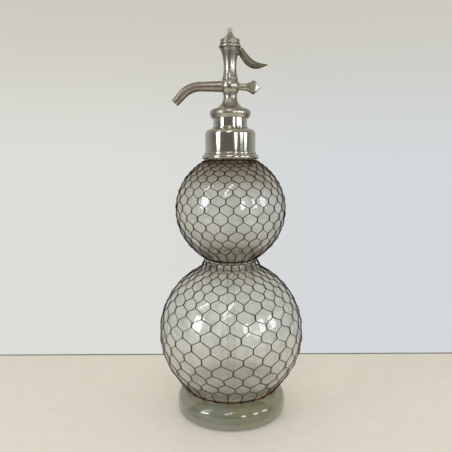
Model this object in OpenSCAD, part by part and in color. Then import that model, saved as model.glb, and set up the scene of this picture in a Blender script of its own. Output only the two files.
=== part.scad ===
// Two-globe soda siphon: glass globes in hexagonal wire netting, a screwed pewter tap head
// with a sprung lever valve, and a glass dip tube. Millimetres, +Z up.
// The origin is at the middle of the foot's underside. The spout points to -X, the lever to +X.

/* [Glass vessel] */
// Outer radius of the lower globe
lower_globe_r = 80.6; // [70:0.2:97]
// Outer radius of the upper globe
upper_globe_r = 60.4; // [50:0.2:72]
// How far the outsides of the two globes run into each other
globe_sink = 1.1; // [0:0.1:2]
// Outer radius of the waist between the globes
waist_r = 26.5; // [22:0.1:32]
// Radius of the throat inside the waist
throat_r = 14.8; // [12:0.1:16]
// Thickness of the blown glass
glass_wall = 5; // [4:0.1:6]
// Outer radius of the glass neck under the collar
glass_neck_r = 22; // [20:0.1:23]
// Fillet between the upper globe and its neck
neck_fillet_r = 8; // [5:0.1:10]
// Height of the straight part of the glass neck
glass_neck_h = 23; // [19:0.1:28]
// How far the lip stands out at the top of the glass neck
lip_out = 1.5; // [1:0.1:2]
// Height of that lip
lip_h = 6; // [4:0.1:8]

/* [Glass foot] */
// Outer radius of the foot
foot_r = 62.3; // [56:0.1:75]
// Height of the foot's top above the table
foot_h = 25; // [20:0.1:28]
// Rounding of the foot's upper edge
foot_top_round = 12; // [8:0.1:13]
// Rounding of the foot's lower edge
foot_bottom_round = 6; // [3:0.1:7]
// Thickness of glass between the table and the lowest point of the globe
foot_seat_z = 12.6; // [9:0.1:15]
// Radius of the shallow hollow under the foot
foot_hollow_r = 38; // [30:1:45]
// Depth of that hollow
foot_hollow_depth = 2.5; // [1:0.1:4]

/* [Wire netting] */
// Cells of netting round each globe
cells_round = 24; // [20:1:26]
// Rows of twisted joints on the lower globe
lower_rows = 16; // [14:1:17]
// Rows of twisted joints on the upper globe
upper_rows = 13; // [11:1:14]
// Height of the lower globe's top row above the globe's upper end, in degrees
lower_first_rise = 2.2; // [1:0.1:2.3]
// Step from that row down to the next, in degrees
lower_row_step = 5.7; // [5:0.05:6]
// How much each further step grows, in degrees
lower_row_growth = 0.221; // [0.1:0.001:0.25]
// Drop of the upper globe's top row below the globe's upper end, in degrees
upper_first_drop = 9.2; // [7:0.1:11]
// Step between the upper globe's rows, in degrees
upper_row_step = 8.6; // [7:0.05:8.8]
// How far the netting leans round the globe from one row to the next, in degrees
net_lean = 0.7; // [0:0.05:1.5]
// Share of a row's step that its twisted joint takes up
twist_share = 0.42; // [0.3:0.01:0.6]
// Height of the netting wire off its own underside
net_wire_h = 0.9; // [0.7:0.05:1.2]
// Half the width of a twisted joint
net_twist_half = 0.72; // [0.5:0.02:0.9]
// Gap between the netting and the glass
net_gap = 0.4; // [0.35:0.01:0.6]
// Radius of the wire of the neck ring
neck_wire_r = 0.7; // [0.5:0.05:0.8]
// Radius of the tie wire round the waist
waist_wire_r = 1.0; // [0.6:0.05:1.2]
// Radius of the wire of the bottom ring
bottom_wire_r = 0.8; // [0.5:0.05:1]
// Height of the bottom ring above the foot's top
bottom_ring_rise = 4.2; // [3.4:0.1:6]
// Radius of the knots that tie the netting to the bottom ring
knot_r = 1.3; // [1:0.05:1.6]

/* [Collar] */
// Outer radius of the collar's body
collar_r = 27.7; // [26.5:0.1:31]
// Thickness of the collar's wall
collar_wall = 1.7; // [1.2:0.1:2.2]
// Outer radius of the bead at the collar's rim
rim_bead_r = 31.5; // [30:0.1:36]
// Radius of that bead's own round section
rim_round = 2.9; // [2:0.1:3.4]
// Depth of the collar's cavity, which the cement fills
collar_cavity_h = 29.5; // [25:0.1:33]
// Thickness of the collar's shoulder over the glass neck
collar_shoulder_t = 3.8; // [3:0.1:5]
// Rounding of the collar's shoulder
shoulder_round = 6; // [4:0.1:8]
// Outer radius of the collar's bright neck
collar_neck_r = 18.6; // [18:0.1:20.4]
// Height of that neck between the shoulder and the head
collar_neck_h = 11.5; // [8:0.1:16]
// Radius of the collar's mouth
mouth_r = 15.8; // [15.2:0.1:16.4]
// Outer radius of the screw thread on the collar
thread_r = 17.8; // [17.3:0.1:18.2]
// Height of that thread
thread_h = 5.2; // [4:0.1:7]
// Thickness of the rubber washer under the head
washer_t = 2; // [1.5:0.1:3]

/* [Tap head] */
// Radius of the head's flange
flange_r = 22.4; // [21:0.1:26]
// Height of the flange from its lower lip to its top
flange_h = 10; // [9:0.1:12]
// Thickness of the lower lip round the thread
flange_lip_t = 2.8; // [2:0.1:3.4]
// Radius of the pedestal at its narrowest
pedestal_r = 7.4; // [6.5:0.1:9]
// Radius of the cove that sweeps from the pedestal to the flange
pedestal_cove_r = 13; // [11:0.1:14]
// Height of the ball's middle above the flange's top
ball_rise = 23.9; // [22:0.1:27]
// Radius of the ball that carries the spout
ball_r = 10.6; // [9.6:0.1:12.8]
// Height of the small bead above the ball's middle
bead_rise = 7.9; // [7.4:0.1:8.6]
// Radius of the column at its narrowest
column_r = 6.9; // [6.5:0.1:8.4]
// Height of that narrowest place above the ball's middle
column_waist_rise = 20.5; // [17:0.1:24]
// Radius of the long cove that shapes the column
column_cove_r = 49; // [40:1:60]
// Height of the column's top, under the cap, above the ball's middle
column_rise = 39.7; // [36:0.1:47]

/* [Spout and finger grip] */
// Outer radius of the spout
spout_r = 5.15; // [4.4:0.05:5.6]
// Outer radius of the spout where it meets the ball
spout_root_r = 5.8; // [5.4:0.05:6.2]
// Outer radius at the spout's mouth
spout_mouth_r = 4.4; // [4:0.05:5]
// Radius of the spout's bore
spout_bore_r = 2.6; // [2:0.05:2.9]
// Distance from the axis to the start of the bend
spout_reach = 32.5; // [27:0.1:39]
// Radius of the bend
spout_bend_r = 27; // [22:0.1:33]
// Angle of the bend
spout_bend = 47; // [40:1:56]
// Even length between the taper and the bend
spout_even_l = 2; // [2:0.5:4]
// Straight length after the bend
spout_end_l = 12.4; // [10:0.1:15]
// Radius of the stem of the finger grip
grip_stem_r = 3.7; // [3.2:0.05:4.2]
// Radius of the finger grip at its widest
grip_r = 7.2; // [6:0.1:8.5]
// Distance from the axis to the widest place of the grip
grip_reach = 25; // [22:0.1:30]
// Thickness of the grip between its two flats
grip_t = 9.2; // [7.6:0.1:11]
// How far the grip droops, in degrees
grip_droop = 2.5; // [0:0.5:5]

/* [Lever and valve] */
// Distance from the axis to the lever's pivot
pivot_x = 7.6; // [7:0.1:8.2]
// Depth of the pivot below the column's top
pivot_drop = 4.2; // [3.8:0.1:4.6]
// Radius of the pivot pin
pin_r = 1.2; // [0.9:0.05:1.4]
// Radius of the lever's eye round the pin
eye_r = 2.9; // [2.6:0.05:3]
// Width of the lever where it passes through the column's wall
lever_root_w = 5; // [4:0.1:5.4]
// Width of the thumb piece at its widest
lever_thumb_w = 9.6; // [7:0.1:13]
// Reach of the lever's tip from the axis
lever_reach = 40.8; // [36:0.1:49]
// Drop of the lever's tip below the pivot
lever_tip_drop = 12.8; // [10:0.1:15]
// Travel of the lever when it is pressed, in degrees
lever_travel = 18; // [12:1:20]
// Radius of the valve rod
rod_r = 1.4; // [1.1:0.05:1.6]
// Radius of the collar on the rod that the lever's fork lifts
rod_collar_r = 4.4; // [4:0.05:4.6]
// Radius of the column's bore
column_bore_r = 5; // [4.7:0.05:5.2]
// Radius of the valve chamber inside the ball
chamber_r = 4.6; // [4.3:0.05:4.8]
// Depth of the valve seat below the ball's middle
chamber_drop = 7.5; // [7:0.1:8]
// Height of the chamber above the ball's middle, where the gland's packing rests
chamber_rise = 8.5; // [7:0.1:10]
// Height of the gland's packing
packing_h = 4; // [3:0.1:5]
// Height of the screwed ring over the packing
gland_h = 3.5; // [3:0.1:4.5]
// Radius of the passage up to the valve seat
passage_r = 3; // [2.5:0.05:3.1]
// Radius of the cup that holds the valve's rubber disc
cup_r = 4.0; // [3.7:0.05:4.1]
// Thickness of the rubber disc
disc_t = 2; // [1.5:0.1:2.4]
// Turns of the valve spring
spring_turns = 5; // [4:1:6]
// Radius of the spring wire
spring_wire_r = 0.4; // [0.3:0.05:0.5]
// Mean radius of the spring
spring_r = 3.2; // [2.6:0.05:3.6]

/* [Cap] */
// Radius of the bead at the cap's lower edge
cap_r = 12.1; // [11.8:0.1:14.5]
// Height of the cap's beaded band
cap_band_h = 10; // [9:0.1:12]
// Height of the finial above that band
finial_h = 10.6; // [9.5:0.1:15]
// Radius of the button on the finial
button_r = 2.5; // [2.3:0.1:3.4]
// Outer radius of the thread that the cap screws on
cap_thread_r = 9; // [8.6:0.1:9.4]
// Height of that thread
cap_thread_h = 5.8; // [4.5:0.1:6.5]
// Thickness of the cap over the spring's chamber
cap_roof_t = 1; // [0.8:0.1:1.5]

/* [Dip tube] */
// Outer radius of the glass tube
tube_r = 5; // [4.2:0.05:5.4]
// Bore radius of the glass tube
tube_bore_r = 3; // [2.2:0.05:3.2]
// Gap between the tube's end and the bottom of the lower globe
tube_foot_gap = 5; // [3:0.5:12]
// Radius of the rubber sleeve round the tube's top
sleeve_r = 6.8; // [6.4:0.05:7.2]
// Length of that sleeve
sleeve_l = 6; // [4:0.1:7]
// Outer radius of the threaded tail that holds the sleeve
tail_r = 8.5; // [8:0.1:9]
// Length of that tail below the head's socket
tail_l = 10; // [9:0.1:13]
// Width across the corners of the tube nut
nut_w = 23; // [21:0.5:27]
// Height of the tube nut
nut_h = 11.5; // [10:0.1:12.5]
// Thickness of the tube nut's floor
nut_floor_t = 3; // [2:0.1:4]
// Height of the throat stopper above the throat
stopper_top = 6; // [5:0.1:8]
// Length of the throat stopper's cone below the throat
stopper_cone = 5; // [4:0.1:8]
// Radius of the gas holes through the stopper
gas_hole_r = 1; // [0.6:0.1:1.4]

/* [Clearances] */
// Gap of a running fit, such as the pin in the lever's eye
run_gap = 0.06; // [0.03:0.01:0.1]
// Gap of parts that are screwed together
thread_gap = 0.08; // [0.04:0.01:0.1]
// Gap of parts that are cemented or pressed together
seat_gap = 0.05; // [0.02:0.01:0.1]
// Free gap round parts that move past each other
free_gap = 0.3; // [0.2:0.05:0.5]
// Gap between the column's top and the cap, above the lever
cap_gap = 0.4; // [0.3:0.05:0.6]
// Gap between the netting's ends and the rings that they are tied to
tie_gap = 0.3; // [0.2:0.05:0.4]

/* [Hidden] */

$fn = 96;

// How far joined solids run into each other, and how far a cutter stands out of what it cuts
over = 1;
// Longer than the whole siphon
far = 1000;

// Radius of the arc that is tangent to two globes and passes the waist between them.
// a and b are the radii of the lower and upper globe, d their distance, w the waist's radius.
function waist_lift(a, b, d) = (d * d + a * a - b * b) / (2 * d);
function waist_slope(a, b, d) = (a - b) / d;
function waist_arc_r(a, b, d, w) =
    let (
        lift = waist_lift(a, b, d),
        slope = waist_slope(a, b, d),
        qa = slope * slope,
        qb = 2 * (lift * slope - a + w),
        qc = lift * lift - a * a + w * w
    )
    2 * qc / (-qb + sqrt(qb * qb - 4 * qa * qc));
// Height of that arc's centre above the lower globe's centre.
function waist_arc_z(a, b, d, w) =
    waist_lift(a, b, d) + waist_slope(a, b, d) * waist_arc_r(a, b, d, w);

// Heights of the vessel
lower_z = foot_seat_z + lower_globe_r;
globe_gap = lower_globe_r + upper_globe_r - globe_sink;
upper_z = lower_z + globe_gap;
waist_arc = waist_arc_r(lower_globe_r, upper_globe_r, globe_gap, waist_r);
waist_z = lower_z + waist_arc_z(lower_globe_r, upper_globe_r, globe_gap, waist_r);
throat_arc = waist_arc_r(
    lower_globe_r - glass_wall, upper_globe_r - glass_wall, globe_gap, throat_r
);
throat_z = lower_z + waist_arc_z(
    lower_globe_r - glass_wall, upper_globe_r - glass_wall, globe_gap, throat_r
);
neck_arc_z = upper_z
    + sqrt(pow(upper_globe_r + neck_fillet_r, 2) - pow(glass_neck_r + neck_fillet_r, 2));
neck_top = neck_arc_z + glass_neck_h;
// Length of straight neck that is drawn with the upper globe, and half the height of the
// stretch that is drawn as the waist
neck_stub = 1;
waist_half = 13;
neck_cut_z = neck_arc_z + neck_stub;
waist_low_z = waist_z - waist_half;
waist_high_z = waist_z + waist_half;

// Heights of the collar and of the head's lower end
collar_z = neck_top + free_gap - collar_cavity_h;
shoulder_z = neck_top + free_gap + collar_shoulder_t;
thread_z = shoulder_z + collar_neck_h;
collar_top = thread_z + thread_h;
flange_z = thread_z + free_gap;
socket_top = collar_top + washer_t;
flange_top = flange_z + flange_h;
socket_r = thread_r + thread_gap;

// Heights of the tap head
ball_z = flange_top + ball_rise;
seat_z = ball_z - chamber_drop;
shelf_z = ball_z + chamber_rise;
column_top = ball_z + column_rise;
cap_z = column_top + cap_gap;
boss_top = column_top + cap_thread_h;
spring_roof = cap_z + cap_band_h - cap_roof_t;

// Lever and valve
pivot_z = column_top - pivot_drop;
fork_r = 1.3;
fork_gap = 0.1;
rod_collar_z = pivot_z + fork_r + fork_gap;
rod_collar_t = 1.2;
rod_bottom = seat_z + disc_t;
valve_lift = pivot_x * sin(lever_travel);
slot_w = lever_root_w + 2 * free_gap;
slot_floor_gap = 1.6;
slot_z = pivot_z - eye_r - slot_floor_gap;
cup_wall = 0.4;
tail_z = socket_top - tail_l;
seat_lip_h = 1.2;
seat_lip_t = 0.8;

// Tenons of the spout and of the grip in the ball
spout_tenon_r = 4.1;
grip_tenon_r = 2.6;
tenon_break = 0.8;
tenon_start_x = chamber_r - tenon_break;
shoulder_sink = 0.7;
spout_seat_x = sqrt(ball_r * ball_r - spout_root_r * spout_root_r) - shoulder_sink;
grip_seat_x = sqrt(ball_r * ball_r - grip_stem_r * grip_stem_r) - shoulder_sink;

// Netting
net_foot_lower = lower_globe_r + net_gap;
net_foot_upper = upper_globe_r + net_gap;
// Latitudes at which the globes turn into the waist and into the neck
lower_end_lat = atan2(waist_z - lower_z, waist_r + waist_arc);
upper_end_lat = acos((glass_neck_r + neck_fillet_r) / (upper_globe_r + neck_fillet_r));
// The neck ring lies on the globe just under the neck's fillet, the waist ring a little up the
// waist's arc, and the bottom ring hangs off the globe above the foot
wire_gap = 0.15;
hang_gap = 1.4;
neck_ring_drop = 1.2;
neck_ring_lat = upper_end_lat - neck_ring_drop;
neck_ring_r = (upper_globe_r + neck_wire_r + wire_gap) * cos(neck_ring_lat);
neck_ring_z = upper_z + (upper_globe_r + neck_wire_r + wire_gap) * sin(neck_ring_lat);
waist_tie_turn = 36;
waist_tie_arc = waist_arc - waist_wire_r - wire_gap;
waist_ring_z = waist_z + waist_tie_arc * sin(waist_tie_turn);
waist_ring_r = waist_r + waist_arc - waist_tie_arc * cos(waist_tie_turn);
bottom_ring_z = foot_h + bottom_ring_rise;
bottom_ring_r = sqrt(
    pow(lower_globe_r + bottom_wire_r + hang_gap, 2) - pow(lower_z - bottom_ring_z, 2)
);
// The last twist above a ring is bent at every so many degrees, to follow the globe
bend_span = 15;
// Angle of the first joint of the top row: the front is the -Y side
net_phase_lower = -90 - 7.4;
net_phase_upper = -90 - 1.0;

// ---------------------------------------------------------------- glass

// Half outline of the vessel. a and b are the radii of the globes.
module vessel_outline(a, b, arc, arc_z, throat, neck, fillet, top) {
    translate([0, lower_z])
        circle(a);
    translate([0, upper_z])
        circle(b);
    difference() {
        polygon([[0, lower_z], [throat + arc, arc_z], [0, upper_z]]);
        translate([throat + arc, arc_z])
            circle(arc);
    }
    difference() {
        polygon([[0, upper_z], [neck + fillet, neck_arc_z], [0, neck_arc_z]]);
        translate([neck + fillet, neck_arc_z])
            circle(fillet);
    }
    translate([0, upper_z])
        square([neck, top - upper_z]);
}

// The half plane outside the axis, between two heights
module half_plane(z0 = -far, z1 = far) {
    polygon([[0, z0], [far, z0], [far, z1], [0, z1]]);
}

// The blown vessel between two heights: two globes, with a waist, a neck and a lip
module vessel(z0, z1) {
    color([0.80, 0.84, 0.82, 0.45])
        rotate_extrude()
            intersection() {
                half_plane(z0, z1);
                difference() {
                    union() {
                        vessel_outline(
                            lower_globe_r, upper_globe_r, waist_arc, waist_z, waist_r,
                            glass_neck_r, neck_fillet_r, neck_top
                        );
                        translate([0, neck_top - lip_h])
                            square([glass_neck_r + lip_out, lip_h]);
                    }
                    vessel_outline(
                        lower_globe_r - glass_wall, upper_globe_r - glass_wall, throat_arc,
                        throat_z, throat_r, glass_neck_r - glass_wall,
                        neck_fillet_r + glass_wall, neck_top + over
                    );
                }
            }
}

// The vessel is one piece of glass, drawn in four that meet below and above the waist and
// just above the upper globe
module lower_globe() {
    vessel(0, waist_low_z);
}

module glass_waist() {
    vessel(waist_low_z, waist_high_z);
}

module upper_globe() {
    vessel(waist_high_z, neck_cut_z);
}

module glass_neck() {
    vessel(neck_cut_z, far);
}

// The foot: a thick rounded disc, dished on top for the globe and hollowed underneath
module glass_foot() {
    hollow_ball_r = (foot_hollow_r * foot_hollow_r / foot_hollow_depth + foot_hollow_depth) / 2;
    color([0.62, 0.68, 0.62, 0.6])
        rotate_extrude()
            difference() {
                union() {
                    translate([foot_r - foot_bottom_round, foot_bottom_round])
                        circle(foot_bottom_round);
                    translate([foot_r - foot_top_round, foot_h - foot_top_round])
                        circle(foot_top_round);
                    polygon([
                        [0, 0], [foot_r - foot_bottom_round, 0], [foot_r, foot_bottom_round],
                        [foot_r, foot_h - foot_top_round], [foot_r - foot_top_round, foot_h],
                        [0, foot_h]
                    ]);
                }
                translate([0, lower_z])
                    circle(lower_globe_r + seat_gap);
                translate([0, foot_hollow_depth - hollow_ball_r])
                    circle(hollow_ball_r);
            }
}

// ---------------------------------------------------------------- netting

// A point at latitude lat and angle a on a globe, moved right, up and out by v.
function on_globe(z0, r, lat, a, v) =
    let (
        out = [cos(lat) * cos(a), cos(lat) * sin(a), sin(lat)],
        right = [-sin(a), cos(a), 0],
        up = [-sin(lat) * cos(a), -sin(lat) * sin(a), cos(lat)]
    )
    [0, 0, z0] + (r + v[2]) * out + v[0] * right + v[1] * up;

// The four corners of a joint: its ridge, then its left, right and middle foot.
// side is 1 where two wires leave upwards, -1 where they leave downwards and 0 at a bend.
function joint_points(z0, r, lat, a, side) = [
    on_globe(z0, r, lat, a, [0, 0, net_wire_h]),
    on_globe(z0, r, lat, a, [-net_twist_half, -net_twist_half / 2 * side, 0]),
    on_globe(z0, r, lat, a, [net_twist_half, -net_twist_half / 2 * side, 0]),
    on_globe(z0, r, lat, a, [0, net_twist_half * 0.8 * side, 0])
];

// Six faces of the wire from joint p to joint q. pl and pr are its left and right feet at p.
function wire_faces(po, pl, pr, qo, ql, qr) = [
    [pl, qo, po], [pl, ql, qo],
    [pr, po, qo], [pr, qo, qr],
    [pl, pr, qr], [pl, qr, ql]
];

// Netting on a globe: rows of twisted joints, each row set half a cell round from the last,
// with single wires between them. lats holds the rows' latitudes from the top down, ends the
// latitudes at which the first and last row meet their rings, and lifts their heights there.
module netting(z0, r, phase, lats, ends, lifts) {
    rows = len(lats);
    n = cells_round;
    function half_twist(i) =
        twist_share * (i + 1 < rows ? lats[i] - lats[i + 1] : lats[i - 1] - lats[i]) / 2;
    function angle(i, j) = phase + 360 / n * (j + (i % 2) / 2) + net_lean * i;
    function top_lat(i) = i == 0 ? ends[0] : lats[i] + half_twist(i);
    function bottom_lat(i) = i == rows - 1 ? ends[1] : lats[i] - half_twist(i);
    last = rows - 1;
    bends = ceil((top_lat(last) - ends[1]) / bend_span);
    points = [
        for (i = [0 : last], j = [0 : n - 1])
            each concat(
                joint_points(z0, r + (i == 0 ? lifts[0] : 0), top_lat(i), angle(i, j), 1),
                joint_points(
                    z0, r + (i == last ? lifts[1] : 0), bottom_lat(i), angle(i, j), -1
                )
            ),
        for (k = [1 : 1 : bends - 1], j = [0 : n - 1])
            each joint_points(
                z0, r + lifts[1] * k / bends,
                top_lat(last) + (ends[1] - top_lat(last)) * k / bends, angle(last, j), 0
            )
    ];
    // Numbers of the corners: k 0 ridge, 1 left, 2 right, 3 middle, of the upper joint (side 0)
    // or the lower one (side 1)
    function corner(i, j, side, k) = ((i * n + (j + n) % n) * 2 + side) * 4 + k;
    // The same at bend b of a twist: b is 0 at its upper joint and runs to its lower one
    function bent(i, j, b, k) =
        b == 0 ? corner(i, j, 0, k)
        : b == (i == last ? bends : 1) ? corner(i, j, 1, k)
        : (rows * 2 + b - 1) * n * 4 + j * 4 + k;
    faces = [
        for (i = [0 : last], j = [0 : n - 1])
            each concat(
                [
                    for (b = [1 : i == last ? bends : 1])
                        each wire_faces(
                            bent(i, j, b, 0), bent(i, j, b, 1), bent(i, j, b, 2),
                            bent(i, j, b - 1, 0), bent(i, j, b - 1, 1), bent(i, j, b - 1, 2)
                        )
                ],
                i == 0
                    ? [[corner(i, j, 0, 0), corner(i, j, 0, 1), corner(i, j, 0, 2)]]
                    : [[corner(i, j, 0, 1), corner(i, j, 0, 2), corner(i, j, 0, 3)]],
                i == last
                    ? [[corner(i, j, 1, 1), corner(i, j, 1, 0), corner(i, j, 1, 2)]]
                    : concat(
                        [[corner(i, j, 1, 2), corner(i, j, 1, 1), corner(i, j, 1, 3)]],
                        // down to the right, then down to the left
                        wire_faces(
                            corner(i, j, 1, 0), corner(i, j, 1, 2), corner(i, j, 1, 3),
                            corner(i + 1, j + i % 2, 0, 0), corner(i + 1, j + i % 2, 0, 3),
                            corner(i + 1, j + i % 2, 0, 1)
                        ),
                        wire_faces(
                            corner(i, j, 1, 0), corner(i, j, 1, 3), corner(i, j, 1, 1),
                            corner(i + 1, j + i % 2 - 1, 0, 0),
                            corner(i + 1, j + i % 2 - 1, 0, 2),
                            corner(i + 1, j + i % 2 - 1, 0, 3)
                        )
                    )
            )
    ];
    polyhedron(points = points, faces = faces);
}

// Latitude of row i of joints
function lower_lat(i) = lower_end_lat + lower_first_rise
    - lower_row_step * i - lower_row_growth * i * (i - 1) / 2;
function upper_lat(i) = upper_end_lat - upper_first_drop - upper_row_step * i;

// Latitude and distance, seen from a globe's centre, of a point at radius pr and height pz
function lat_of(z0, pr, pz) = atan2(pz - z0, pr);
function dist_of(z0, pr, pz) = norm([pr, pz - z0]);

module upper_netting() {
    neck_gap = 0.5;
    top_r = neck_ring_r + neck_wire_r + neck_gap;
    top_z = neck_ring_z - neck_wire_r;
    low_r = waist_ring_r + waist_wire_r + tie_gap;
    low_z = waist_ring_z + waist_wire_r + tie_gap / 2;
    color([0.33, 0.24, 0.17])
        netting(
            upper_z, net_foot_upper, net_phase_upper,
            [for (i = [0 : upper_rows - 1]) upper_lat(i)],
            [lat_of(upper_z, top_r, top_z), lat_of(upper_z, low_r, low_z)],
            [0, dist_of(upper_z, low_r, low_z) - net_foot_upper]
        );
}

module lower_netting() {
    top_r = waist_ring_r + waist_wire_r / 2;
    top_z = waist_ring_z - waist_wire_r - tie_gap;
    low_r = bottom_ring_r + bottom_wire_r + tie_gap;
    low_z = bottom_ring_z + bottom_wire_r;
    color([0.33, 0.24, 0.17])
        netting(
            lower_z, net_foot_lower, net_phase_lower,
            [for (i = [0 : lower_rows - 1]) lower_lat(i)],
            [lat_of(lower_z, top_r, top_z), lat_of(lower_z, low_r, low_z)],
            [dist_of(lower_z, top_r, top_z) - net_foot_lower,
             dist_of(lower_z, low_r, low_z) - net_foot_lower]
        );
}

module wire_ring(r, z, wire_r) {
    translate([0, 0, z])
        rotate_extrude()
            translate([r, 0])
                circle(wire_r);
}

// Ring that gathers the netting under the collar
module neck_wire() {
    color([0.30, 0.22, 0.16])
        wire_ring(neck_ring_r, neck_ring_z, neck_wire_r);
}

// Tie wire round the waist
module waist_wire() {
    color([0.30, 0.22, 0.16])
        wire_ring(waist_ring_r, waist_ring_z, waist_wire_r);
}

// Ring that gathers the netting under the lower globe, with a knot at each last joint
module bottom_ring_wire() {
    color([0.42, 0.25, 0.15])
        union() {
            wire_ring(bottom_ring_r, bottom_ring_z, bottom_wire_r);
            for (j = [0 : cells_round - 1])
                rotate(net_phase_lower + 360 / cells_round * (j + (lower_rows - 1) % 2 / 2)
                    + net_lean * (lower_rows - 1))
                    translate([bottom_ring_r, 0, bottom_ring_z - bottom_wire_r / 2])
                        sphere(knot_r);
        }
}

// ---------------------------------------------------------------- collar

// The pewter collar: a bell over the glass neck, with a beaded rim and a threaded neck
module collar() {
    bead_r = 1.5;
    bead_rise = 1.2;
    bead_sink = 0.4;
    flare_h = 4;
    color([0.70, 0.69, 0.65])
        rotate_extrude()
            difference() {
                union() {
                    translate([0, collar_z])
                        square([collar_r, shoulder_z - shoulder_round - collar_z]);
                    translate([0, collar_z])
                        square([collar_r - shoulder_round, shoulder_z - collar_z]);
                    translate([collar_r - shoulder_round, shoulder_z - shoulder_round])
                        circle(shoulder_round);
                    translate([rim_bead_r - rim_round, collar_z + rim_round])
                        circle(rim_round);
                    translate([0, collar_z])
                        square([rim_bead_r - rim_round, 2 * rim_round]);
                    translate([collar_r - bead_sink, collar_z + 2 * rim_round + bead_rise])
                        circle(bead_r);
                    translate([0, shoulder_z - over])
                        square([collar_neck_r, collar_neck_h + over]);
                    translate([collar_neck_r, shoulder_z + bead_rise])
                        circle(bead_r);
                    translate([0, thread_z - over])
                        square([thread_r, thread_h + over]);
                }
                translate([-over, collar_z - over])
                    square([collar_r - collar_wall + over, collar_cavity_h + over]);
                translate([-over, collar_z - over])
                    square([mouth_r + over, collar_top - collar_z + 2 * over]);
                // The lower edge opens out over the netting
                polygon([
                    [0, collar_z - over], [rim_bead_r - rim_round, collar_z - over],
                    [collar_r - collar_wall, collar_z + flare_h], [0, collar_z + flare_h]
                ]);
            }
}

// The cement that holds the collar to the glass neck
module collar_cement() {
    cement_rise = 1;
    cement_z = neck_arc_z + cement_rise;
    color([0.72, 0.66, 0.55])
        rotate_extrude()
            difference() {
                translate([glass_neck_r + seat_gap, cement_z])
                    square([
                        collar_r - collar_wall - glass_neck_r - 2 * seat_gap,
                        neck_top - cement_z
                    ]);
                translate([0, neck_top - lip_h - seat_gap])
                    square([glass_neck_r + lip_out + seat_gap, lip_h + 2 * over]);
            }
}

// The rubber washer between the collar's top and the head
module neck_washer() {
    color([0.12, 0.11, 0.10])
        translate([0, 0, collar_top])
            difference() {
                cylinder(r = thread_r - free_gap, h = washer_t);
                translate([0, 0, -over])
                    cylinder(r = mouth_r, h = washer_t + 2 * over);
            }
}

// ---------------------------------------------------------------- tap head

// Half outline of the tap head: flange, pedestal, ball, bead and column
module head_outline() {
    lip_r = thread_r + flange_lip_t;
    edge_r = 5;
    edge_z = flange_top - edge_r;
    edge_band_h = 0.6;
    cove_sink = 0.3;
    cove_z = flange_top + pedestal_cove_r - cove_sink;
    bead_r = 1.1;
    bead_in = 0.7;
    ball_bury = sqrt(ball_r * ball_r - pedestal_r * pedestal_r);
    polygon([
        [0, flange_z], [lip_r, flange_z], [flange_r, edge_z - edge_band_h],
        [flange_r, edge_z], [flange_r - edge_r, flange_top], [0, flange_top]
    ]);
    translate([flange_r - edge_r, edge_z])
        circle(edge_r);
    difference() {
        translate([0, flange_top - over])
            square([flange_r - edge_r, ball_z - ball_bury - flange_top + 2 * over]);
        translate([pedestal_r + pedestal_cove_r, cove_z])
            circle(pedestal_cove_r);
    }
    translate([0, ball_z])
        circle(ball_r);
    translate([column_r + bead_in, ball_z + bead_rise])
        circle(bead_r);
    difference() {
        translate([0, ball_z + bead_rise])
            square([cap_r, column_rise - bead_rise]);
        translate([column_r + column_cove_r, ball_z + column_waist_rise])
            circle(column_cove_r);
    }
    translate([0, column_top - over])
        square([cap_thread_r, boss_top - column_top + over]);
}

// Half outline of all that is bored along the tap's axis
module head_bores() {
    // socket over the collar's thread, round the tail
    difference() {
        translate([0, flange_z - over])
            square([socket_r, socket_top - flange_z + over]);
        translate([0, tail_z])
            square([tail_r, socket_top - tail_z + over]);
    }
    // sleeve socket and passage
    translate([0, tail_z - over])
        square([sleeve_r + seat_gap, over + sleeve_l + free_gap]);
    translate([0, tail_z])
        square([passage_r, seat_z - tail_z + over]);
    // valve chamber, round the raised seat
    difference() {
        translate([0, seat_z - seat_lip_h])
            square([chamber_r, shelf_z - seat_z + seat_lip_h + over]);
        translate([0, seat_z - seat_lip_h - over])
            square([passage_r + seat_lip_t, seat_lip_h + over]);
    }
    translate([0, shelf_z])
        square([column_bore_r, boss_top - shelf_z + over]);
}

// The tap head as it comes off the lathe, bored through. Its seam is turned to the side.
module head_turning() {
    rotate(90)
        rotate_extrude()
            intersection() {
                half_plane();
                difference() {
                    union() {
                        head_outline();
                        translate([0, tail_z])
                            square([tail_r, socket_top - tail_z + over]);
                    }
                    head_bores();
                }
            }
}

// The same with the sockets for the spout and the grip, each with a flat seat for its shoulder
module head_with_sockets() {
    difference() {
        head_turning();
        translate([0, 0, ball_z])
            rotate([0, -90, 0])
                side_socket(spout_tenon_r, spout_root_r, spout_seat_x);
        translate([0, 0, ball_z])
            rotate([0, 90 + grip_droop, 0])
                side_socket(grip_tenon_r, grip_stem_r, grip_seat_x);
    }
}

// The body of the tap: it screws on the collar and holds the valve, the spout and the lever.
// The lever's slot is open at the top, and the pin's bore passes through its cheeks.
module valve_body() {
    color([0.62, 0.60, 0.55])
        difference() {
            difference() {
                head_with_sockets();
                translate([0, -slot_w / 2, slot_z])
                    cube([cap_r + over, slot_w, boss_top + over - slot_z]);
            }
            translate([pivot_x, 0, pivot_z])
                rotate([90, 0, 0])
                    cylinder(r = pin_r, h = 2 * cap_r, center = true);
        }
}

// Bore for a tenon with a counterbore that seats its shoulder
module side_socket(tenon_r, shoulder_r, seat_x) {
    translate([0, 0, tenon_start_x])
        cylinder(r = tenon_r + seat_gap, h = ball_r);
    translate([0, 0, seat_x])
        cylinder(r = shoulder_r + seat_gap, h = ball_r);
}

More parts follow.
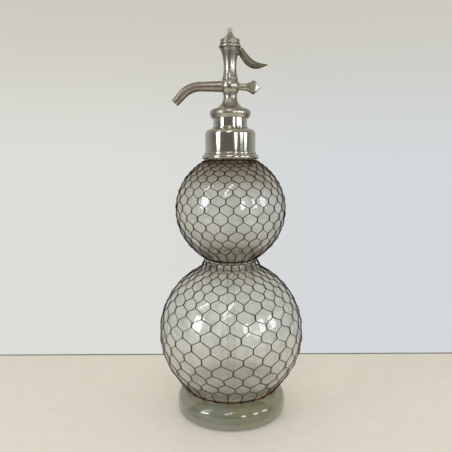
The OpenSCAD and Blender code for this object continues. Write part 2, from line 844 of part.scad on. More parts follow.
// The spout: straight out of the ball, then bent down to its plain cut mouth.
// It is drawn along +Z with its upper side towards +X, then laid over towards -X.
module spout() {
    tenon_x = chamber_r + free_gap;
    seat_l = 1;
    color([0.58, 0.54, 0.49])
        translate([0, 0, ball_z])
            rotate([0, -90, 0])
                union() {
                    // tenon, shoulder and taper
                    rotate_extrude()
                        polygon([
                            [spout_bore_r, tenon_x], [spout_tenon_r, tenon_x],
                            [spout_tenon_r, spout_seat_x], [spout_root_r, spout_seat_x],
                            [spout_root_r, ball_r], [spout_r, spout_reach - spout_even_l],
                            [spout_r, spout_reach], [spout_bore_r, spout_reach]
                        ]);
                    // bend
                    translate([-spout_bend_r, 0, spout_reach])
                        rotate([90, 0, 0])
                            rotate_extrude(angle = spout_bend)
                                translate([spout_bend_r, 0])
                                    difference() {
                                        circle(spout_r);
                                        circle(spout_bore_r);
                                    }
                    // straight end, drawn in by a hair where it seats inside the bend
                    translate([-spout_bend_r, 0, spout_reach])
                        rotate([0, -spout_bend, 0])
                            translate([spout_bend_r, 0, 0])
                                rotate_extrude()
                                    polygon([
                                        [spout_bore_r + seat_gap, -seat_l],
                                        [spout_r - seat_gap, -seat_l],
                                        [spout_mouth_r, spout_end_l],
                                        [spout_bore_r + seat_gap, spout_end_l]
                                    ]);
                }
}

// The finger grip opposite the spout: a turned knob that runs to a small nub. It is flattened
// by a front and a back facet, each with a slanting facet before and behind it.
module finger_grip() {
    flare_x = grip_reach - 11;
    flare_r = 16;
    knee_x = grip_reach + 1;
    tip_x = grip_reach + 6.2;
    neck_half = 3.5;
    flat_start = grip_reach - 3.6;
    flat_end = grip_reach + 2.4;
    tip_half = 1.7;
    nub_x = tip_x + 0.7;
    color([0.72, 0.70, 0.64])
        translate([0, 0, ball_z])
            rotate([0, 90 + grip_droop, 0])
                union() {
                    translate([0, 0, chamber_r + free_gap])
                        cylinder(r = grip_tenon_r, h = ball_r - chamber_r);
                    translate([0, 0, grip_seat_x])
                        cylinder(r = grip_stem_r, h = flare_x + 2 * over - grip_seat_x);
                    intersection() {
                        grip_turning(flare_x, flare_r, knee_x, tip_x, tip_half);
                        rotate([90, 0, 90])
                            linear_extrude(4 * grip_r, center = true)
                                polygon([
                                    [-neck_half, flare_x], [neck_half, flare_x],
                                    [grip_t / 2, flat_start], [grip_t / 2, flat_end],
                                    [tip_half, tip_x], [-tip_half, tip_x],
                                    [-grip_t / 2, flat_end], [-grip_t / 2, flat_start]
                                ]);
                    }
                    translate([0, 0, tip_x])
                        sphere(tip_half);
                    translate([0, 0, nub_x])
                        cylinder(r1 = 1.3, r2 = 0.8, h = 1.4);
                }
}

// The turned shape of the grip: a flare, a round knob and a straight run to its tip
module grip_turning(flare_x, flare_r, knee_x, tip_x, tip_r) {
    rotate_extrude()
        intersection() {
            polygon([
                [0, flare_x], [grip_r + over, flare_x], [grip_r + over, knee_x],
                [tip_r, tip_x], [0, tip_x]
            ]);
            union() {
                difference() {
                    translate([0, flare_x])
                        square([grip_r, grip_reach - flare_x]);
                    translate([grip_stem_r + flare_r, flare_x])
                        circle(flare_r);
                }
                difference() {
                    translate([0, grip_reach])
                        circle(grip_r);
                    translate([-far, grip_reach - far])
                        square([2 * far, far]);
                }
            }
        }
}

// ---------------------------------------------------------------- cap

// Half outline between the points p and q, hollowed between them by a cove of depth sag
module coved_side(p, q, sag) {
    chord = norm(q - p);
    r = (chord * chord / 4 + sag * sag) / (2 * sag);
    out = [q[1] - p[1], p[0] - q[0]] / chord;
    difference() {
        polygon([[0, p[1]], [p[0] + sag / 2, p[1]], [q[0] + sag / 2, q[1]], [0, q[1]]]);
        translate((p + q) / 2 + (r - sag) * out)
            circle(r);
    }
}

// The screw cap: three beads, a hollow cone and a button
module top_cap() {
    low_bead_r = 1.7;
    mid_bead_r = 1.3;
    top_bead_r = 1.5;
    mid_bead_in = 1.1;
    groove_in = 2.1;
    mid_z = cap_z + cap_band_h * 0.5;
    top_z = cap_z + cap_band_h * 0.8;
    cone_r = cap_r - 3;
    cone_z = top_z + top_bead_r;
    cone_sag = 1.2;
    stem_r = 2.3;
    stem_h = 1.2;
    button_h = 2.6;
    button_round = 0.8;
    button_z = cap_z + cap_band_h + finial_h - button_h;
    thread_room = 0.3;
    color([0.66, 0.64, 0.59])
        rotate_extrude()
            intersection() {
                half_plane();
                difference() {
                    union() {
                        translate([0, cap_z])
                            square([cap_r - groove_in, top_z - cap_z]);
                        translate([0, cap_z])
                            square([cap_r - low_bead_r, low_bead_r]);
                        translate([cap_r - low_bead_r, cap_z + low_bead_r])
                            circle(low_bead_r);
                        translate([cap_r - mid_bead_in - mid_bead_r, mid_z])
                            circle(mid_bead_r);
                        translate([cone_r, top_z])
                            circle(top_bead_r);
                        translate([0, top_z - over])
                            square([cone_r, top_bead_r + over]);
                        coved_side([cone_r, cone_z], [stem_r, button_z - stem_h], cone_sag);
                        translate([0, button_z - stem_h - over])
                            square([stem_r, stem_h + 2 * over]);
                        translate([0, button_z])
                            square([button_r, button_h - button_round]);
                        translate([0, button_z])
                            square([button_r - button_round, button_h]);
                        translate([
                            button_r - button_round, button_z + button_h - button_round
                        ])
                            circle(button_round);
                    }
                    // thread over the column's top, and the spring's chamber
                    translate([0, cap_z - over])
                        square([
                            cap_thread_r + thread_gap, boss_top - cap_z + over + thread_room
                        ]);
                    translate([0, cap_z - over])
                        square([column_bore_r, spring_roof - cap_z + over]);
                }
            }
}

// ---------------------------------------------------------------- spring, lever, valve

// Faces of a tube whose points lie ring after ring, with a flat cap at each end
function tube_faces(rings, sides) = concat(
    [[for (s = [sides - 1 : -1 : 0]) s]],
    [
        for (k = [0 : rings - 2], s = [0 : sides - 1])
            let (
                a = k * sides + s,
                b = k * sides + (s + 1) % sides
            )
            each [[a, b, a + sides], [b, b + sides, a + sides]]
    ],
    [[for (s = [0 : sides - 1]) (rings - 1) * sides + s]]
);

// A round wire wound from height z0 to z1
module coil(r, wire_r, z0, z1, turns, steps, sides) {
    rings = turns * steps + 1;
    points = [
        for (k = [0 : rings - 1], s = [0 : sides - 1])
            let (
                a = 360 * k / steps,
                b = 360 * s / sides,
                rr = r + wire_r * cos(b)
            )
            [rr * cos(a), rr * sin(a), z0 + (z1 - z0) * k / (rings - 1) + wire_r * sin(b)]
    ];
    polyhedron(points = points, faces = tube_faces(rings, sides));
}

// The spring that closes the valve, between the rod's collar and the cap
module valve_spring() {
    color([0.45, 0.42, 0.36])
        coil(
            spring_r, spring_wire_r, rod_collar_z + rod_collar_t + spring_wire_r + seat_gap,
            spring_roof - spring_wire_r - seat_gap, spring_turns, 8, 6
        );
}

// A point at t of the cubic curve with the four control points p
function curve(p, t) =
    pow(1 - t, 3) * p[0] + 3 * t * pow(1 - t, 2) * p[1] + 3 * t * t * (1 - t) * p[2]
    + pow(t, 3) * p[3];
function curve_slope(p, t) =
    3 * pow(1 - t, 2) * (p[1] - p[0]) + 6 * t * (1 - t) * (p[2] - p[1])
    + 3 * t * t * (p[3] - p[2]);

// A curved bar with oval sections along the curve p in the XZ plane.
// heights and widths are lists of [t, half size].
module oval_bar(p, heights, widths, steps, sides) {
    points = [
        for (k = [0 : steps], s = [0 : sides - 1])
            let (
                t = k / steps,
                c = curve(p, t),
                d = curve_slope(p, t) / norm(curve_slope(p, t)),
                b = 360 * s / sides,
                h = lookup(t, heights) * sin(b)
            )
            [c[0] - d[1] * h, -lookup(t, widths) * cos(b), c[1] + d[0] * h]
    ];
    polyhedron(points = points, faces = tube_faces(steps + 1, sides));
}

// The lever: a fork under the rod's collar, an eye on the pin and a curved thumb piece
module lever() {
    root = [pivot_x + 2.8, pivot_z + 3.3];
    root_pull = [11.8, -18.1];
    tip = [lever_reach, pivot_z - lever_tip_drop];
    tip_pull = [-14.9, -2.1];
    tip_half_w = 1.2;
    fork_room = 0.5;
    cap_room = 0.5;
    color([0.47, 0.43, 0.36])
        difference() {
            union() {
                oval_bar(
                    [root, root + root_pull, tip + tip_pull, tip],
                    [[0, 3.6], [0.25, 4.4], [0.5, 4.2], [0.75, 3.1], [1, 0.4]],
                    [
                        [0, lever_root_w / 2], [0.15, lever_root_w / 2],
                        [0.6, lever_thumb_w / 2], [0.85, lever_thumb_w * 0.38],
                        [1, tip_half_w]
                    ],
                    18, 14
                );
                translate([0, lever_root_w / 2, 0])
                    rotate([90, 0, 0])
                        linear_extrude(lever_root_w) {
                            translate([pivot_x, pivot_z])
                                circle(eye_r);
                            translate([0, pivot_z])
                                circle(fork_r);
                            translate([0, pivot_z - fork_r])
                                square([pivot_x, 2 * fork_r - fork_gap]);
                        }
            }
            // the fork's gap, the pin's bore and the room for the cap's lower bead
            translate([-fork_r - over, -rod_r - run_gap, pivot_z - eye_r])
                cube([over + fork_r + rod_r + fork_room, 2 * (rod_r + run_gap), 2 * eye_r]);
            translate([pivot_x, 0, pivot_z])
                rotate([90, 0, 0])
                    cylinder(r = pin_r + run_gap, h = 2 * lever_root_w, center = true);
            translate([0, 0, cap_z - cap_room])
                cylinder(r = cap_r + cap_room, h = cap_band_h);
        }
}

// The pivot pin, pressed through the column's cheeks
module lever_pin() {
    inset = 0.2;
    cheek_r = column_r + column_cove_r
        - sqrt(pow(column_cove_r, 2) - pow(column_rise - column_waist_rise - pivot_drop, 2));
    color([0.55, 0.53, 0.48])
        translate([pivot_x, 0, pivot_z])
            rotate([90, 0, 0])
                cylinder(
                    r = pin_r, h = 2 * (sqrt(cheek_r * cheek_r - pivot_x * pivot_x) - inset),
                    center = true
                );
}

// The valve rod: a cup for the rubber disc at its foot and a collar under the spring. Its end
// above the collar keeps the spring in line over the whole lift.
module valve_rod() {
    cup_h = 3;
    cup_depth = 1;
    cup_cone_h = 1.5;
    color([0.70, 0.60, 0.38])
        difference() {
            union() {
                translate([0, 0, rod_bottom - cup_depth])
                    cylinder(r = cup_r, h = cup_h);
                translate([0, 0, rod_bottom - cup_depth + cup_h])
                    cylinder(r1 = cup_r, r2 = rod_r, h = cup_cone_h);
                translate([0, 0, rod_bottom])
                    cylinder(
                        r = rod_r, h = rod_collar_z + rod_collar_t + valve_lift - rod_bottom
                    );
                translate([0, 0, rod_collar_z])
                    cylinder(r = rod_collar_r, h = rod_collar_t);
            }
            translate([0, 0, rod_bottom - 2 * cup_depth])
                cylinder(r = cup_r - cup_wall, h = 2 * cup_depth);
        }
}

// The rubber disc that closes on the seat
module valve_disc() {
    color([0.13, 0.12, 0.11])
        translate([0, 0, seat_z])
            cylinder(r = cup_r - cup_wall - seat_gap, h = disc_t);
}

// Leather packing round the rod, above the chamber
module gland_packing() {
    color([0.40, 0.27, 0.17])
        translate([0, 0, shelf_z])
            difference() {
                cylinder(r = column_bore_r - seat_gap, h = packing_h);
                translate([0, 0, -over])
                    cylinder(r = rod_r + run_gap, h = packing_h + 2 * over);
            }
}

// Screwed ring that presses the packing, with two slots for its key
module gland_ring() {
    key_w = 1;
    key_depth = 1.5;
    color([0.70, 0.60, 0.38])
        translate([0, 0, shelf_z + packing_h])
            difference() {
                cylinder(r = column_bore_r - thread_gap, h = gland_h);
                translate([0, 0, -over])
                    cylinder(r = rod_r + run_gap, h = gland_h + 2 * over);
                translate([-column_bore_r, -key_w / 2, gland_h - key_depth])
                    cube([2 * column_bore_r, key_w, 2 * key_depth]);
            }
}

// ---------------------------------------------------------------- dip tube

// The hexagonal nut that clamps the tube's sleeve in the head's tail
module tube_nut() {
    color([0.66, 0.64, 0.59])
        translate([0, 0, tail_z - nut_floor_t])
            difference() {
                cylinder(d = nut_w, h = nut_h, $fn = 6);
                translate([0, 0, nut_floor_t])
                    cylinder(r = tail_r + thread_gap, h = nut_h);
                translate([0, 0, -over])
                    cylinder(r = tube_r + free_gap, h = nut_h);
            }
}

// The rubber sleeve round the tube's top
module tube_sleeve() {
    color([0.12, 0.11, 0.10])
        translate([0, 0, tail_z])
            difference() {
                cylinder(r = sleeve_r, h = sleeve_l);
                translate([0, 0, -over])
                    cylinder(r = tube_r + seat_gap, h = sleeve_l + 2 * over);
            }
}

// The glass tube, from the head down to just above the bottom of the lower globe
module dip_tube() {
    foot_z = foot_seat_z + glass_wall + tube_foot_gap;
    color([0.75, 0.80, 0.78, 0.5])
        translate([0, 0, foot_z])
            difference() {
                cylinder(r = tube_r, h = tail_z + sleeve_l - foot_z);
                translate([0, 0, -over])
                    cylinder(r = tube_bore_r, h = tail_z + sleeve_l - foot_z + 2 * over);
            }
}

// The stopper on the tube that closes the throat, with small holes for the gas
module throat_stopper() {
    mouth_gap = 0.5;
    taper = 1.2;
    top_r = mouth_r - mouth_gap;
    neck_r = throat_r - free_gap;
    color([0.80, 0.76, 0.68])
        difference() {
            rotate_extrude()
                union() {
                    difference() {
                        translate([tube_r + seat_gap, throat_z])
                            square([top_r - tube_r - seat_gap, stopper_top]);
                        translate([throat_r + throat_arc, throat_z])
                            circle(throat_arc + free_gap);
                    }
                    polygon([
                        [tube_r + seat_gap, throat_z - stopper_cone],
                        [neck_r - taper, throat_z - stopper_cone],
                        [neck_r, throat_z], [tube_r + seat_gap, throat_z]
                    ]);
                }
            for (a = [0, 120, 240])
                rotate(a)
                    translate([(tube_r + neck_r) / 2, 0, throat_z - stopper_cone - over])
                        cylinder(r = gas_hole_r, h = stopper_cone + stopper_top + 2 * over);
        }
}

lower_globe();
glass_waist();
upper_globe();
glass_neck();
glass_foot();
upper_netting();
lower_netting();
neck_wire();
waist_wire();
bottom_ring_wire();
collar();
collar_cement();
neck_washer();
valve_body();
spout();
finger_grip();
top_cap();
valve_spring();
lever();
lever_pin();
valve_rod();
valve_disc();
gland_packing();
gland_ring();
tube_nut();
tube_sleeve();
dip_tube();
throat_stopper();
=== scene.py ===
# %% [markdown]
# # A soda siphon of two netted glass globes
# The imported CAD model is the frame: every piece below is fitted to it. We keep the parts
# that already have the right shape and give them finishes. We build anew what a renderer
# shows better: the glass as one blown piece, the netting and its rings as real round wire,
# and the valve's spring as a coil.

# %% Load the frame
import math

import bpy
import numpy as np
from mathutils import Matrix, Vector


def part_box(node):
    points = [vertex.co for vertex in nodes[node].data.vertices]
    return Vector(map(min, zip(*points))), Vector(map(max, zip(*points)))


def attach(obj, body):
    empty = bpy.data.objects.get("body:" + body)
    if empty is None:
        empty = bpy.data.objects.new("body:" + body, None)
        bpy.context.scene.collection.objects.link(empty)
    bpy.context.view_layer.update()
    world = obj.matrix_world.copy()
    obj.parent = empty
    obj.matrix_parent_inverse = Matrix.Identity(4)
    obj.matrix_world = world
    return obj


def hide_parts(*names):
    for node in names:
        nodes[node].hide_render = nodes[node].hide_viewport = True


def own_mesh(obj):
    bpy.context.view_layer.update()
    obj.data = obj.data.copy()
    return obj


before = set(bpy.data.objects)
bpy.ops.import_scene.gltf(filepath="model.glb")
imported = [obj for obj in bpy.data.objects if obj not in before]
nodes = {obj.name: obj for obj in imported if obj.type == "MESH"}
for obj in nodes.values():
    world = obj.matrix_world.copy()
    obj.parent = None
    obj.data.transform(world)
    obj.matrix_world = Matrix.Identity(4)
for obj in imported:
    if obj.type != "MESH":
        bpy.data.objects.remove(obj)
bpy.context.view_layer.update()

# %% [markdown]
# Every operator in Blender acts on what is selected, so the first helpers only select. A
# finished piece rests at the origin, unturned and unscaled, with its place in its mesh.

# %% Selecting and finishing
def pick(*objects):
    """Select only these objects and make the last one active."""
    bpy.ops.object.select_all(action="DESELECT")
    for obj in objects:
        obj.select_set(True)
    bpy.context.view_layer.objects.active = objects[-1]


def settle(obj, name):
    """Name a piece and apply its place, turn and size."""
    pick(obj)
    bpy.ops.object.transform_apply(location=True, rotation=True, scale=True)
    obj.name = obj.data.name = name
    return obj


def join(pieces, name):
    """Join pieces into one."""
    pick(*pieces)
    bpy.ops.object.join()
    return settle(bpy.context.object, name)


def turn_about_z(angle):
    """Turn what is selected round the Z axis. Without a window, the operator turns clockwise."""
    bpy.ops.transform.rotate(value=angle, orient_axis="Z", center_override=(0, 0, 0))


def ring_of(obj, count, name):
    """Copy a piece count times round the Z axis and join the copies."""
    copies = [obj]
    for k in range(1, count):
        pick(obj)
        bpy.ops.object.duplicate()
        turn_about_z(2 * math.pi * k / count)
        copies.append(bpy.context.object)
    return join(copies, name)


# %% [markdown]
# Turned and blown things are made on a lathe or a pipe, so their shape is a profile spun
# round an axis. We start from a plane merged to one point, extrude that point along the
# profile, and spin the line into a surface.

# %% A lathe
same_place = 1e-6
sharp_corner = math.radians(50)


def arc(cx, cz, r, start, end, count):
    """Points on an arc, angles in degrees from +X towards +Z."""
    return [
        (cx + r * math.cos(math.radians(a)), cz + r * math.sin(math.radians(a)))
        for a in np.linspace(start, end, count)
    ]


def lathe(name, profile, steps):
    """Spin a profile of (radius, height) points round the Z axis."""
    bpy.ops.object.select_all(action="DESELECT")
    bpy.ops.mesh.primitive_plane_add(size=0.001)
    obj = bpy.context.object
    bpy.ops.object.mode_set(mode="EDIT")
    bpy.ops.mesh.merge(type="CENTER")
    bpy.ops.transform.translate(value=(profile[0][0], 0, profile[0][1]))
    for here, there in zip(profile, profile[1:]):
        bpy.ops.mesh.extrude_region_move(
            TRANSFORM_OT_translate={"value": (there[0] - here[0], 0, there[1] - here[1])}
        )
    bpy.ops.mesh.select_all(action="SELECT")
    bpy.ops.mesh.spin(steps=steps, angle=2 * math.pi, center=(0, 0, 0), axis=(0, 0, 1))
    bpy.ops.mesh.select_all(action="SELECT")
    bpy.ops.mesh.remove_doubles(threshold=same_place)
    bpy.ops.mesh.normals_make_consistent(inside=False)
    bpy.ops.object.mode_set(mode="OBJECT")
    bpy.ops.object.shade_smooth_by_angle(angle=sharp_corner)
    print(name, len(obj.data.polygons), "faces")
    return settle(obj, name)


# %% [markdown]
# ## The glass
# The globes, the waist and the neck were blown in one piece, and the foot was pressed on
# while it was hot, so light passes from one into the other without a gap. The CAD model
# splits them into five nodes. We replace those by one closed wall of glass, with an outside
# and an inside, because a joint between two pieces of glass would show as a bright line.

# %% Sizes of the glass, in metres
lower_r, lower_z = 0.0806, 0.0932
upper_r, upper_z = 0.0604, 0.2331
wall = 0.005
# The arcs of the waist, outside and inside: radius and height of the centre, and radius
waist = (0.03388, 0.174395, 0.00738)
throat = (0.023016, 0.173794, 0.008216)
neck_r, neck_fillet, neck_arc_z, neck_top = 0.022, 0.008, 0.29457, 0.31757
lip_r = 0.0235
foot_r, foot_h, foot_low_edge, foot_high_edge = 0.0623, 0.025, 0.006, 0.012
foot_top = 0.0275
# The shallow hollow under the foot, and where the lower globe starts above the foot's seam
hollow_mouth_r, hollow_depth = 0.038, 0.0025
seam_turn = -53.5
glass_sides = 128


def turn_of(z0, cx, cz):
    """Angle in degrees from a globe's centre to the centre of an arc."""
    return math.degrees(math.atan2(cz - z0, cx))


# %% Profile of the glass
waist_low = turn_of(lower_z, waist[0], waist[1])
waist_high = turn_of(upper_z, waist[0], waist[1])
throat_low = turn_of(lower_z, throat[0], throat[1])
throat_high = turn_of(upper_z, throat[0], throat[1])
neck_turn = turn_of(upper_z, neck_r + neck_fillet, neck_arc_z)
hollow_r = (hollow_mouth_r**2 / hollow_depth + hollow_depth) / 2
hollow_turn = math.degrees(math.asin(hollow_mouth_r / hollow_r))

outside = arc(0, hollow_depth - hollow_r, hollow_r, 90, 90 - hollow_turn, 10)
outside += arc(foot_r - foot_low_edge, foot_low_edge, foot_low_edge, -90, 0, 10)
outside += arc(foot_r - foot_high_edge, foot_h - foot_high_edge, foot_high_edge, 0, 90, 16)
# The seam between the foot and the globe is a small step
outside += [(0.0492, 0.02505), (0.0484, 0.02535), (0.0479, 0.0262), (0.04785, 0.0273)]
outside += arc(0, lower_z, lower_r, seam_turn, waist_low, 64)
outside += arc(*waist, 180 + waist_low, 180 + waist_high, 24)[1:-1]
outside += arc(0, upper_z, upper_r, waist_high, neck_turn, 56)
outside += arc(neck_r + neck_fillet, neck_arc_z, neck_fillet, 180 + neck_turn, 180, 8)[1:]
# The lip stands out a little, so that the cement in the collar can hold it
outside += [(neck_r, 0.3112), (0.0232, 0.3118), (lip_r, 0.3128), (lip_r, 0.3164)]
outside += [(0.0226, neck_top), (0.0180, neck_top), (neck_r - wall, 0.3166)]
inside = arc(
    neck_r + neck_fillet, neck_arc_z, neck_fillet + wall, 180, 180 + neck_turn, 10
)
inside += arc(0, upper_z, upper_r - wall, neck_turn, throat_high, 56)
inside += arc(*throat, 180 + throat_high, 180 + throat_low, 24)[1:-1]
inside += arc(0, lower_z, lower_r - wall, throat_low, -90, 72)
inside[-1] = (0.0, inside[-1][1])
glass = lathe("blown_glass", outside + inside, glass_sides)

# %% [markdown]
# Blown glass is never quite even. We move the inner wall in and out by a few tenths of a
# millimetre in long slow waves, which is what makes real reflections and edges wobble.

# %% Slow waves in the inner wall
wave_height = 0.00022
# How deep under the outside the waves begin, and over what depth they grow to their height
inner_from, inner_fade = 0.004, 0.0005
glass_waves = ((1.0, 3, 40, 0.0), (0.7, 5, -65, 1.3), (0.5, 2, 120, 4.1))


def coordinates(obj):
    """The piece's vertices as an array."""
    values = np.empty(len(obj.data.vertices) * 3)
    obj.data.vertices.foreach_get("co", values)
    return values.reshape(-1, 3)


def put_back(obj, values):
    """Write an array of vertices back to the piece."""
    obj.data.vertices.foreach_set("co", values.reshape(-1))
    obj.data.update()


def waves(around, along, parts):
    """A sum of sine waves, each given as strength, waves around, waves along and shift."""
    return sum(
        strength * np.sin(a * around + b * along + shift) for strength, a, b, shift in parts
    )


points = coordinates(glass)
is_lower = points[:, 2] < waist[1]
centre_z = np.where(is_lower, lower_z, upper_z)
globe_r = np.where(is_lower, lower_r, upper_r)
reach = np.hypot(np.hypot(points[:, 0], points[:, 1]), points[:, 2] - centre_z)
# 1 on the inner wall of a globe, and 0 on the outside and in the waist and the neck
inner = np.clip((globe_r - inner_from - reach) / inner_fade, 0, 1)
height = wave_height * waves(np.arctan2(points[:, 1], points[:, 0]), points[:, 2], glass_waves)
swell = 1 + height * inner / reach
points[:, 0] *= swell
points[:, 1] *= swell
put_back(glass, points)
print("inner wall moves by up to", round(1000 * float(np.max(np.abs(height * inner))), 2), "mm")

# %% [markdown]
# ## The netting
# Hexagonal netting is woven from wires that are twisted with one neighbour, part, and are
# twisted with the other neighbour in the next row. We follow one wire from the top ring to
# the bottom ring, give it a round section, and copy it round the globe.

# %% Sizes of the netting
# Cells in each row, round a globe
cells = 24
# Degrees by which each row is turned past the one above, because the nets lean a little
lean = 0.7
# The share of a row's height over which two wires are twisted
twist_share = 0.5
wire_r = 0.00040
# The middle of a joint lies this far above the glass
joint_height = 2.1 * wire_r
# Rings that hold the nets: radius, height and radius of the wire
waist_ring = (0.02884, 0.17806, 0.0010)
neck_ring = (0.0280, 0.28757, 0.0007)
bottom_ring = (0.05253, 0.0292, 0.0008)
# Where the wires of a net are tied to its rings: radius and height
lower_net_top = (waist_ring[0] + 0.0008, waist_ring[1] - 0.0012)
lower_net_bottom = (bottom_ring[0] + 0.0012, bottom_ring[1])
upper_net_top = (neck_ring[0] + 0.0010, neck_ring[1] - 0.0003)
upper_net_bottom = (waist_ring[0] + 0.0014, waist_ring[1] + 0.0010)

# %% [markdown]
# The nets lie on the glass. A place on a net is a latitude and a longitude on its globe, and
# its distance from the globe's centre is read off the profile of the glass. Under the waist
# the wires are pulled taut, so there they leave the glass and run straight up to the ring.

# %% The glass under the nets
taut_lat = 66.5


def seen_from(z0, r, z):
    """Latitude and distance of a point at radius r and height z, from a globe's centre."""
    return math.degrees(math.atan2(z - z0, r)), math.hypot(r, z - z0)


def outline(z0, low, high):
    """The outside of the glass between two heights, as latitudes and distances from z0."""
    seen = [seen_from(z0, r, z) for r, z in outside if low < z < high]
    return tuple(np.array(sorted(seen)).T)


def on_globe(z0, glass_line, above, lat, lon):
    """A point above the glass and its directions right and out, at a latitude and longitude."""
    a, b = math.radians(lat), math.radians(lon)
    out = np.array([math.cos(a) * math.cos(b), math.cos(a) * math.sin(b), math.sin(a)])
    right = np.array([-math.sin(b), math.cos(b), 0.0])
    far = float(np.interp(lat, *glass_line)) + above
    return np.array([0, 0, z0]) + far * out, right, out


upper_glass = outline(upper_z, waist_ring[1] - 0.003, neck_arc_z)
lower_glass = outline(lower_z, foot_top + 0.0005, waist_ring[1])
at_waist_ring = seen_from(lower_z, waist_ring[0], lower_net_top[1])
lower_glass = tuple(
    np.append(line[lower_glass[0] < taut_lat], at)
    for line, at in zip(lower_glass, at_waist_ring)
)
print("glass read at", len(upper_glass[0]), "and", len(lower_glass[0]), "latitudes")

# %% [markdown]
# A wire's route is a list of joints. In a joint it winds round its neighbour, as a helix of
# two turns. Between two joints it runs alone and sinks to the glass. The first and the last
# joint have three turns and are lifted to the ring that they are tied to.

# %% One wire from top to bottom
def joints_passed(phase, lats, ends, side):
    """A wire's joints, as the latitudes of their upper and lower ends and their longitude.

    side is 1 for the wire that swings to the right and -1 for the one that swings to the left.
    """
    steps_down = [above - below for above, below in zip(lats, lats[1:])]
    steps_down.append(steps_down[-1])
    joints = []
    for row, (lat, step) in enumerate(zip(lats, steps_down)):
        half = twist_share * step / 2
        swing = side * (row % 2) * 180 / cells
        joints.append([lat + half, lat - half, phase + lean * row + swing])
    joints[0][0], joints[-1][1] = ends
    return joints


def twist(z0, glass_line, joint, turns, lifts, start):
    """Points of a wire in a joint. start is its place at the top, and lifts raise its ends."""
    high, low, lon = joint
    steps = 6 * turns
    path = []
    for k in range(steps + 1):
        t = k / steps
        above = joint_height + lifts[0] * (1 - t) + lifts[1] * t
        at, right, out = on_globe(z0, glass_line, above, high + (low - high) * t, lon)
        angle = 2 * math.pi * turns * t + start
        path.append(at + wire_r * (math.cos(angle) * right + math.sin(angle) * out))
    return path


def crossing(z0, glass_line, joint, next_joint):
    """Points of a wire between two joints, where it sinks to the glass."""
    sink = 0.85 * wire_r
    path = []
    for t in (0.12, 0.5, 0.88):
        above = joint_height - sink * math.sin(math.pi * t)
        lat = joint[1] + (next_joint[0] - joint[1]) * t
        lon = joint[2] + (next_joint[2] - joint[2]) * t
        path.append(on_globe(z0, glass_line, above, lat, lon)[0])
    return path


def net_wire(z0, glass_line, joints, lifts, side):
    """Points along a whole wire, lifted to the rings at its two ends."""
    path = []
    last = len(joints) - 1
    for row, joint in enumerate(joints):
        turns = 2 if 0 < row < last else 3
        row_lifts = (lifts[0] if row == 0 else 0, lifts[1] if row == last else 0)
        is_right = (side > 0) == (row % 2 == 0)
        path += twist(z0, glass_line, joint, turns, row_lifts, 0 if is_right else math.pi)
        if row < last:
            path += crossing(z0, glass_line, joint, joints[row + 1])
    return path


# %% [markdown]
# A wire is a curve with a round section, turned into a mesh. Its section has only six sides,
# because each wire of a net is copied many times.

# %% A round wire
def wire_mesh(name, path, r, closed=False):
    """A round wire along the points of a path, as a mesh."""
    bpy.ops.object.select_all(action="DESELECT")
    bpy.ops.curve.primitive_bezier_curve_add()
    obj = bpy.context.object
    curve = obj.data
    curve.splines.clear()
    spline = curve.splines.new("POLY")
    spline.points.add(len(path) - 1)
    for point, at in zip(spline.points, path):
        point.co = (*at, 1)
    spline.use_cyclic_u = closed
    curve.dimensions = "3D"
    curve.bevel_depth = r
    curve.bevel_resolution = 1
    curve.use_fill_caps = not closed
    pick(obj)
    bpy.ops.object.convert(target="MESH")
    bpy.ops.object.shade_smooth()
    return settle(bpy.context.object, name)


# %% [markdown]
# The rows of joints lie closest near the top of each globe, where the netting is gathered,
# and open out lower down. So the step from row to row grows at first and then hardly changes.

# %% Both nets
# Longitude of the first joint, in degrees. The front of the siphon is at -90.
lower_phase, upper_phase = -97.4, -92.4


def row_lats(first, step, growth, ease, rows):
    """Latitudes of rows that lie a growing step apart. ease slows the growth."""
    return [first - step * i - growth * i**2 + ease * i**3 for i in rows]


def net(name, z0, glass_line, phase, lats, top, bottom):
    """A whole net between a top and a bottom ring, given as radius and height."""
    ends = [seen_from(z0, *ring) for ring in (top, bottom)]
    lifts = [far - float(np.interp(lat, *glass_line)) - joint_height for lat, far in ends]
    end_lats = [lat for lat, far in ends]
    halves = []
    for side in (1, -1):
        joints = joints_passed(phase, lats, end_lats, side)
        wire = wire_mesh("wire", net_wire(z0, glass_line, joints, lifts, side), wire_r)
        halves.append(ring_of(wire, cells, "wires"))
    whole = join(halves, name)
    print(name, len(lats), "rows,", len(whole.data.polygons), "faces")
    return whole


# The first row under the waist is pulled down by the taut wires
lower_lats = [70.3] + row_lats(74.2, 5.7, 0.18, 0.0033, range(1, 16))
upper_lats = row_lats(59.0, 4.1, 0.463, 0.0145, range(15))
lower_net = net(
    "lower_net", lower_z, lower_glass, lower_phase, lower_lats, lower_net_top, lower_net_bottom
)
upper_net = net(
    "upper_net", upper_z, upper_glass, upper_phase, upper_lats, upper_net_top, upper_net_bottom
)

# %% [markdown]
# Netting that was pulled over a globe by hand has cells that wander a little. A slow wave
# moves whole joints sideways and up or down, so the two wires of a joint stay together.

# %% Uneven cells
wander_deg = 0.55
fade_height = 0.02


